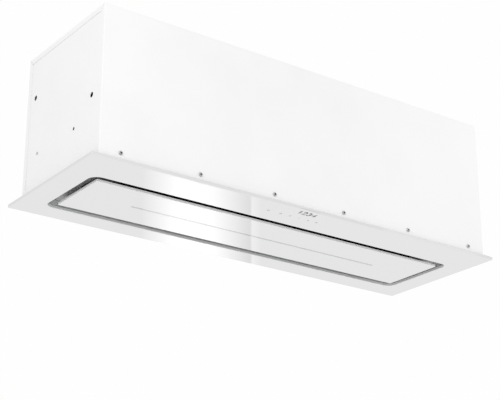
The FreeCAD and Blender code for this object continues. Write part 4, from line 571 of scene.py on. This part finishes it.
# enamelled wire: red-brown and glossy, its turns lie side by side 1.2 mm apart
copper_wire = banded("enamelled_copper_wire", "#6e2f16", "#b8653a", 1.2, 0.4, 0.8)
dress(copper_wire, "motor_windings")

# vulcanised rubber: black with a greyish bloom
rubber = coat("vulcanised_rubber", ("#161616", "#232323"), 4, (0.6, 0.8), 0.8, 0.03, IOR=1.52)
dress(rubber, "motor_bushes")


# ---------------------------------------------------------------- outlet and cable entry
# The collar, its two flaps and the gland of the mains cable are moulded in the same black plastic
# as the filters' latches. Screws hold the collar on the top of the housing.

dress(black_plastic, "outlet_collar", "flap_left", "flap_right", "cable_gland")


# ---------------------------------------------------------------- camera
# Below the hood and to the left of its control side, looking up at it.

camera_place = Vector((-1573.86, -2115.61, -1265.75)) * MM
ahead = Vector((0.54771632, 0.75436736, 0.36185179)).normalized()
to_right = Vector((0.80937, -0.58730, -0.00074))
to_right = (to_right - ahead * to_right.dot(ahead)).normalized()
upwards = to_right.cross(ahead)
lens = bpy.data.cameras.new("camera")
lens.sensor_width, lens.lens, lens.clip_end = 36, 97.33, 200
camera = bpy.data.objects.new("camera", lens)
camera.matrix_world = (Matrix.Translation(camera_place)
                       @ Matrix((to_right, upwards, -ahead)).transposed().to_4x4())
bpy.context.scene.collection.objects.link(camera)
bpy.context.scene.camera = camera
bpy.context.scene.view_settings.view_transform = "Standard"


# ---------------------------------------------------------------- studio
# A pale floor far below, even white light all round, soft lamps towards both ends of the front and
# one low before it. A strip softbox stands beyond the hood and lower, and the glass mirrors it.

def stage_sheet(name, corners, material):
    """A flat sheet of the studio through four corners."""
    mesh = bpy.data.meshes.new(name)
    mesh.from_pydata(corners, [], [(0, 1, 2, 3)])
    mesh.update()
    item = bpy.data.objects.new(name, mesh)
    bpy.context.scene.collection.objects.link(item)
    mesh.materials.append(material)


# floor paint: matt and nearly white
floor_level, floor_reach = -4.2, 60
floor_paint = coat("floor_paint", ("#f6f6f6", "#f7f7f7"), 900, (0.9, 0.95), 40, 0.1,
                   Specular_IOR_Level=0.0)
stage_sheet("studio_floor", [(x * floor_reach, y * floor_reach, floor_level)
                             for x, y in ((-1, -1), (1, -1), (1, 1), (-1, 1))], floor_paint)

# the room lights a little less than it shows, so that pale coats keep their tone on white
room_light, backdrop_light = 0.94, 1.0
world = bpy.data.worlds.new("studio")
bpy.context.scene.world = world
world.use_nodes = True
tree = world.node_tree
tree.nodes.clear()
seen = add(tree, "ShaderNodeLightPath")
direct = add(tree, "ShaderNodeMath", {0: seen.outputs["Is Camera Ray"],
                                      1: seen.outputs["Is Glossy Ray"]}, operation="MAXIMUM")
direct = add(tree, "ShaderNodeMath", {0: direct.outputs["Value"],
                                      1: seen.outputs["Is Transmission Ray"]}, operation="MAXIMUM")
around = add(tree, "ShaderNodeBackground", {"Color": linear("#ffffff"), "Strength": room_light})
behind = add(tree, "ShaderNodeBackground", {"Color": linear("#fefefe"), "Strength": backdrop_light})
shown = add(tree, "ShaderNodeMixShader", {0: direct.outputs["Value"], 1: around.outputs["Background"],
                                          2: behind.outputs["Background"]})
add(tree, "ShaderNodeOutputWorld", {"Surface": shown.outputs["Shader"]})


def soft_lamp(name, spot, target, size, power):
    """A square lamp that faces a target."""
    light = bpy.data.lights.new(name, "AREA")
    light.size, light.energy = size, power
    lamp = bpy.data.objects.new(name, light)
    lamp.location = spot
    lamp.rotation_euler = (Vector(target) - Vector(spot)).to_track_quat("-Z", "Y").to_euler()
    bpy.context.scene.collection.objects.link(lamp)


soft_lamp("left_lamp", (-1.15, -0.75, 0.1), (-0.45, -0.15, -0.1), 0.6, 1.6)
soft_lamp("right_lamp", (1.35, -0.95, 0.45), (0.5, -0.15, -0.1), 0.7, 1.3)
soft_lamp("low_lamp", (-0.3, -2.1, -2.1), (0.0, -0.15, -0.2), 1.6, 6.0)

# the softbox is 0.6 m wide; its cloth is feathered on the left, even in the middle and thinner
# to the right, where a narrow second cloth ends it
left_post, right_post = Vector((1.797, 3.465, 0)), Vector((2.287, 3.115, 0))
softbox_foot, softbox_top = -2.6, -1.0
softbox_strength = 2.4
softbox_cloth = ((0.0, 0.4), (0.3, 1.0), (0.6, 0.9), (0.92, 0.2), (0.93, 0.55), (1.0, 0.4))
softbox = bpy.data.materials.new("strip_softbox_cloth")
softbox.use_nodes = True
tree = softbox.node_tree
tree.nodes.clear()
span = right_post - left_post
run = span / span.length_squared
place = add(tree, "ShaderNodeTexCoord").outputs["Object"]
along = add(tree, "ShaderNodeVectorMath", {0: place, 1: (run.x, run.y, run.z)},
            operation="DOT_PRODUCT")
share = add(tree, "ShaderNodeMath", {0: along.outputs["Value"], 1: -left_post.dot(run)},
            operation="ADD")
ramp = add(tree, "ShaderNodeValToRGB", {"Fac": share.outputs["Value"]})
elements = ramp.color_ramp.elements
while len(elements) < len(softbox_cloth):
    elements.new(0.5)
for element, (position, light) in zip(elements, softbox_cloth):
    element.position = position
    element.color = (light, light, light, 1)
seen = add(tree, "ShaderNodeLightPath")
glow = add(tree, "ShaderNodeEmission", {"Color": ramp.outputs["Color"],
                                        "Strength": softbox_strength})
clear = add(tree, "ShaderNodeBsdfTransparent")
shown = add(tree, "ShaderNodeMixShader", {0: seen.outputs["Is Glossy Ray"], 1: clear.outputs["BSDF"],
                                          2: glow.outputs["Emission"]})
add(tree, "ShaderNodeOutputMaterial", {"Surface": shown.outputs["Shader"]})
stage_sheet("strip_softbox", [(post.x, post.y, level) for post, level in
                              ((left_post, softbox_foot), (right_post, softbox_foot),
                               (right_post, softbox_top), (left_post, softbox_top))], softbox)
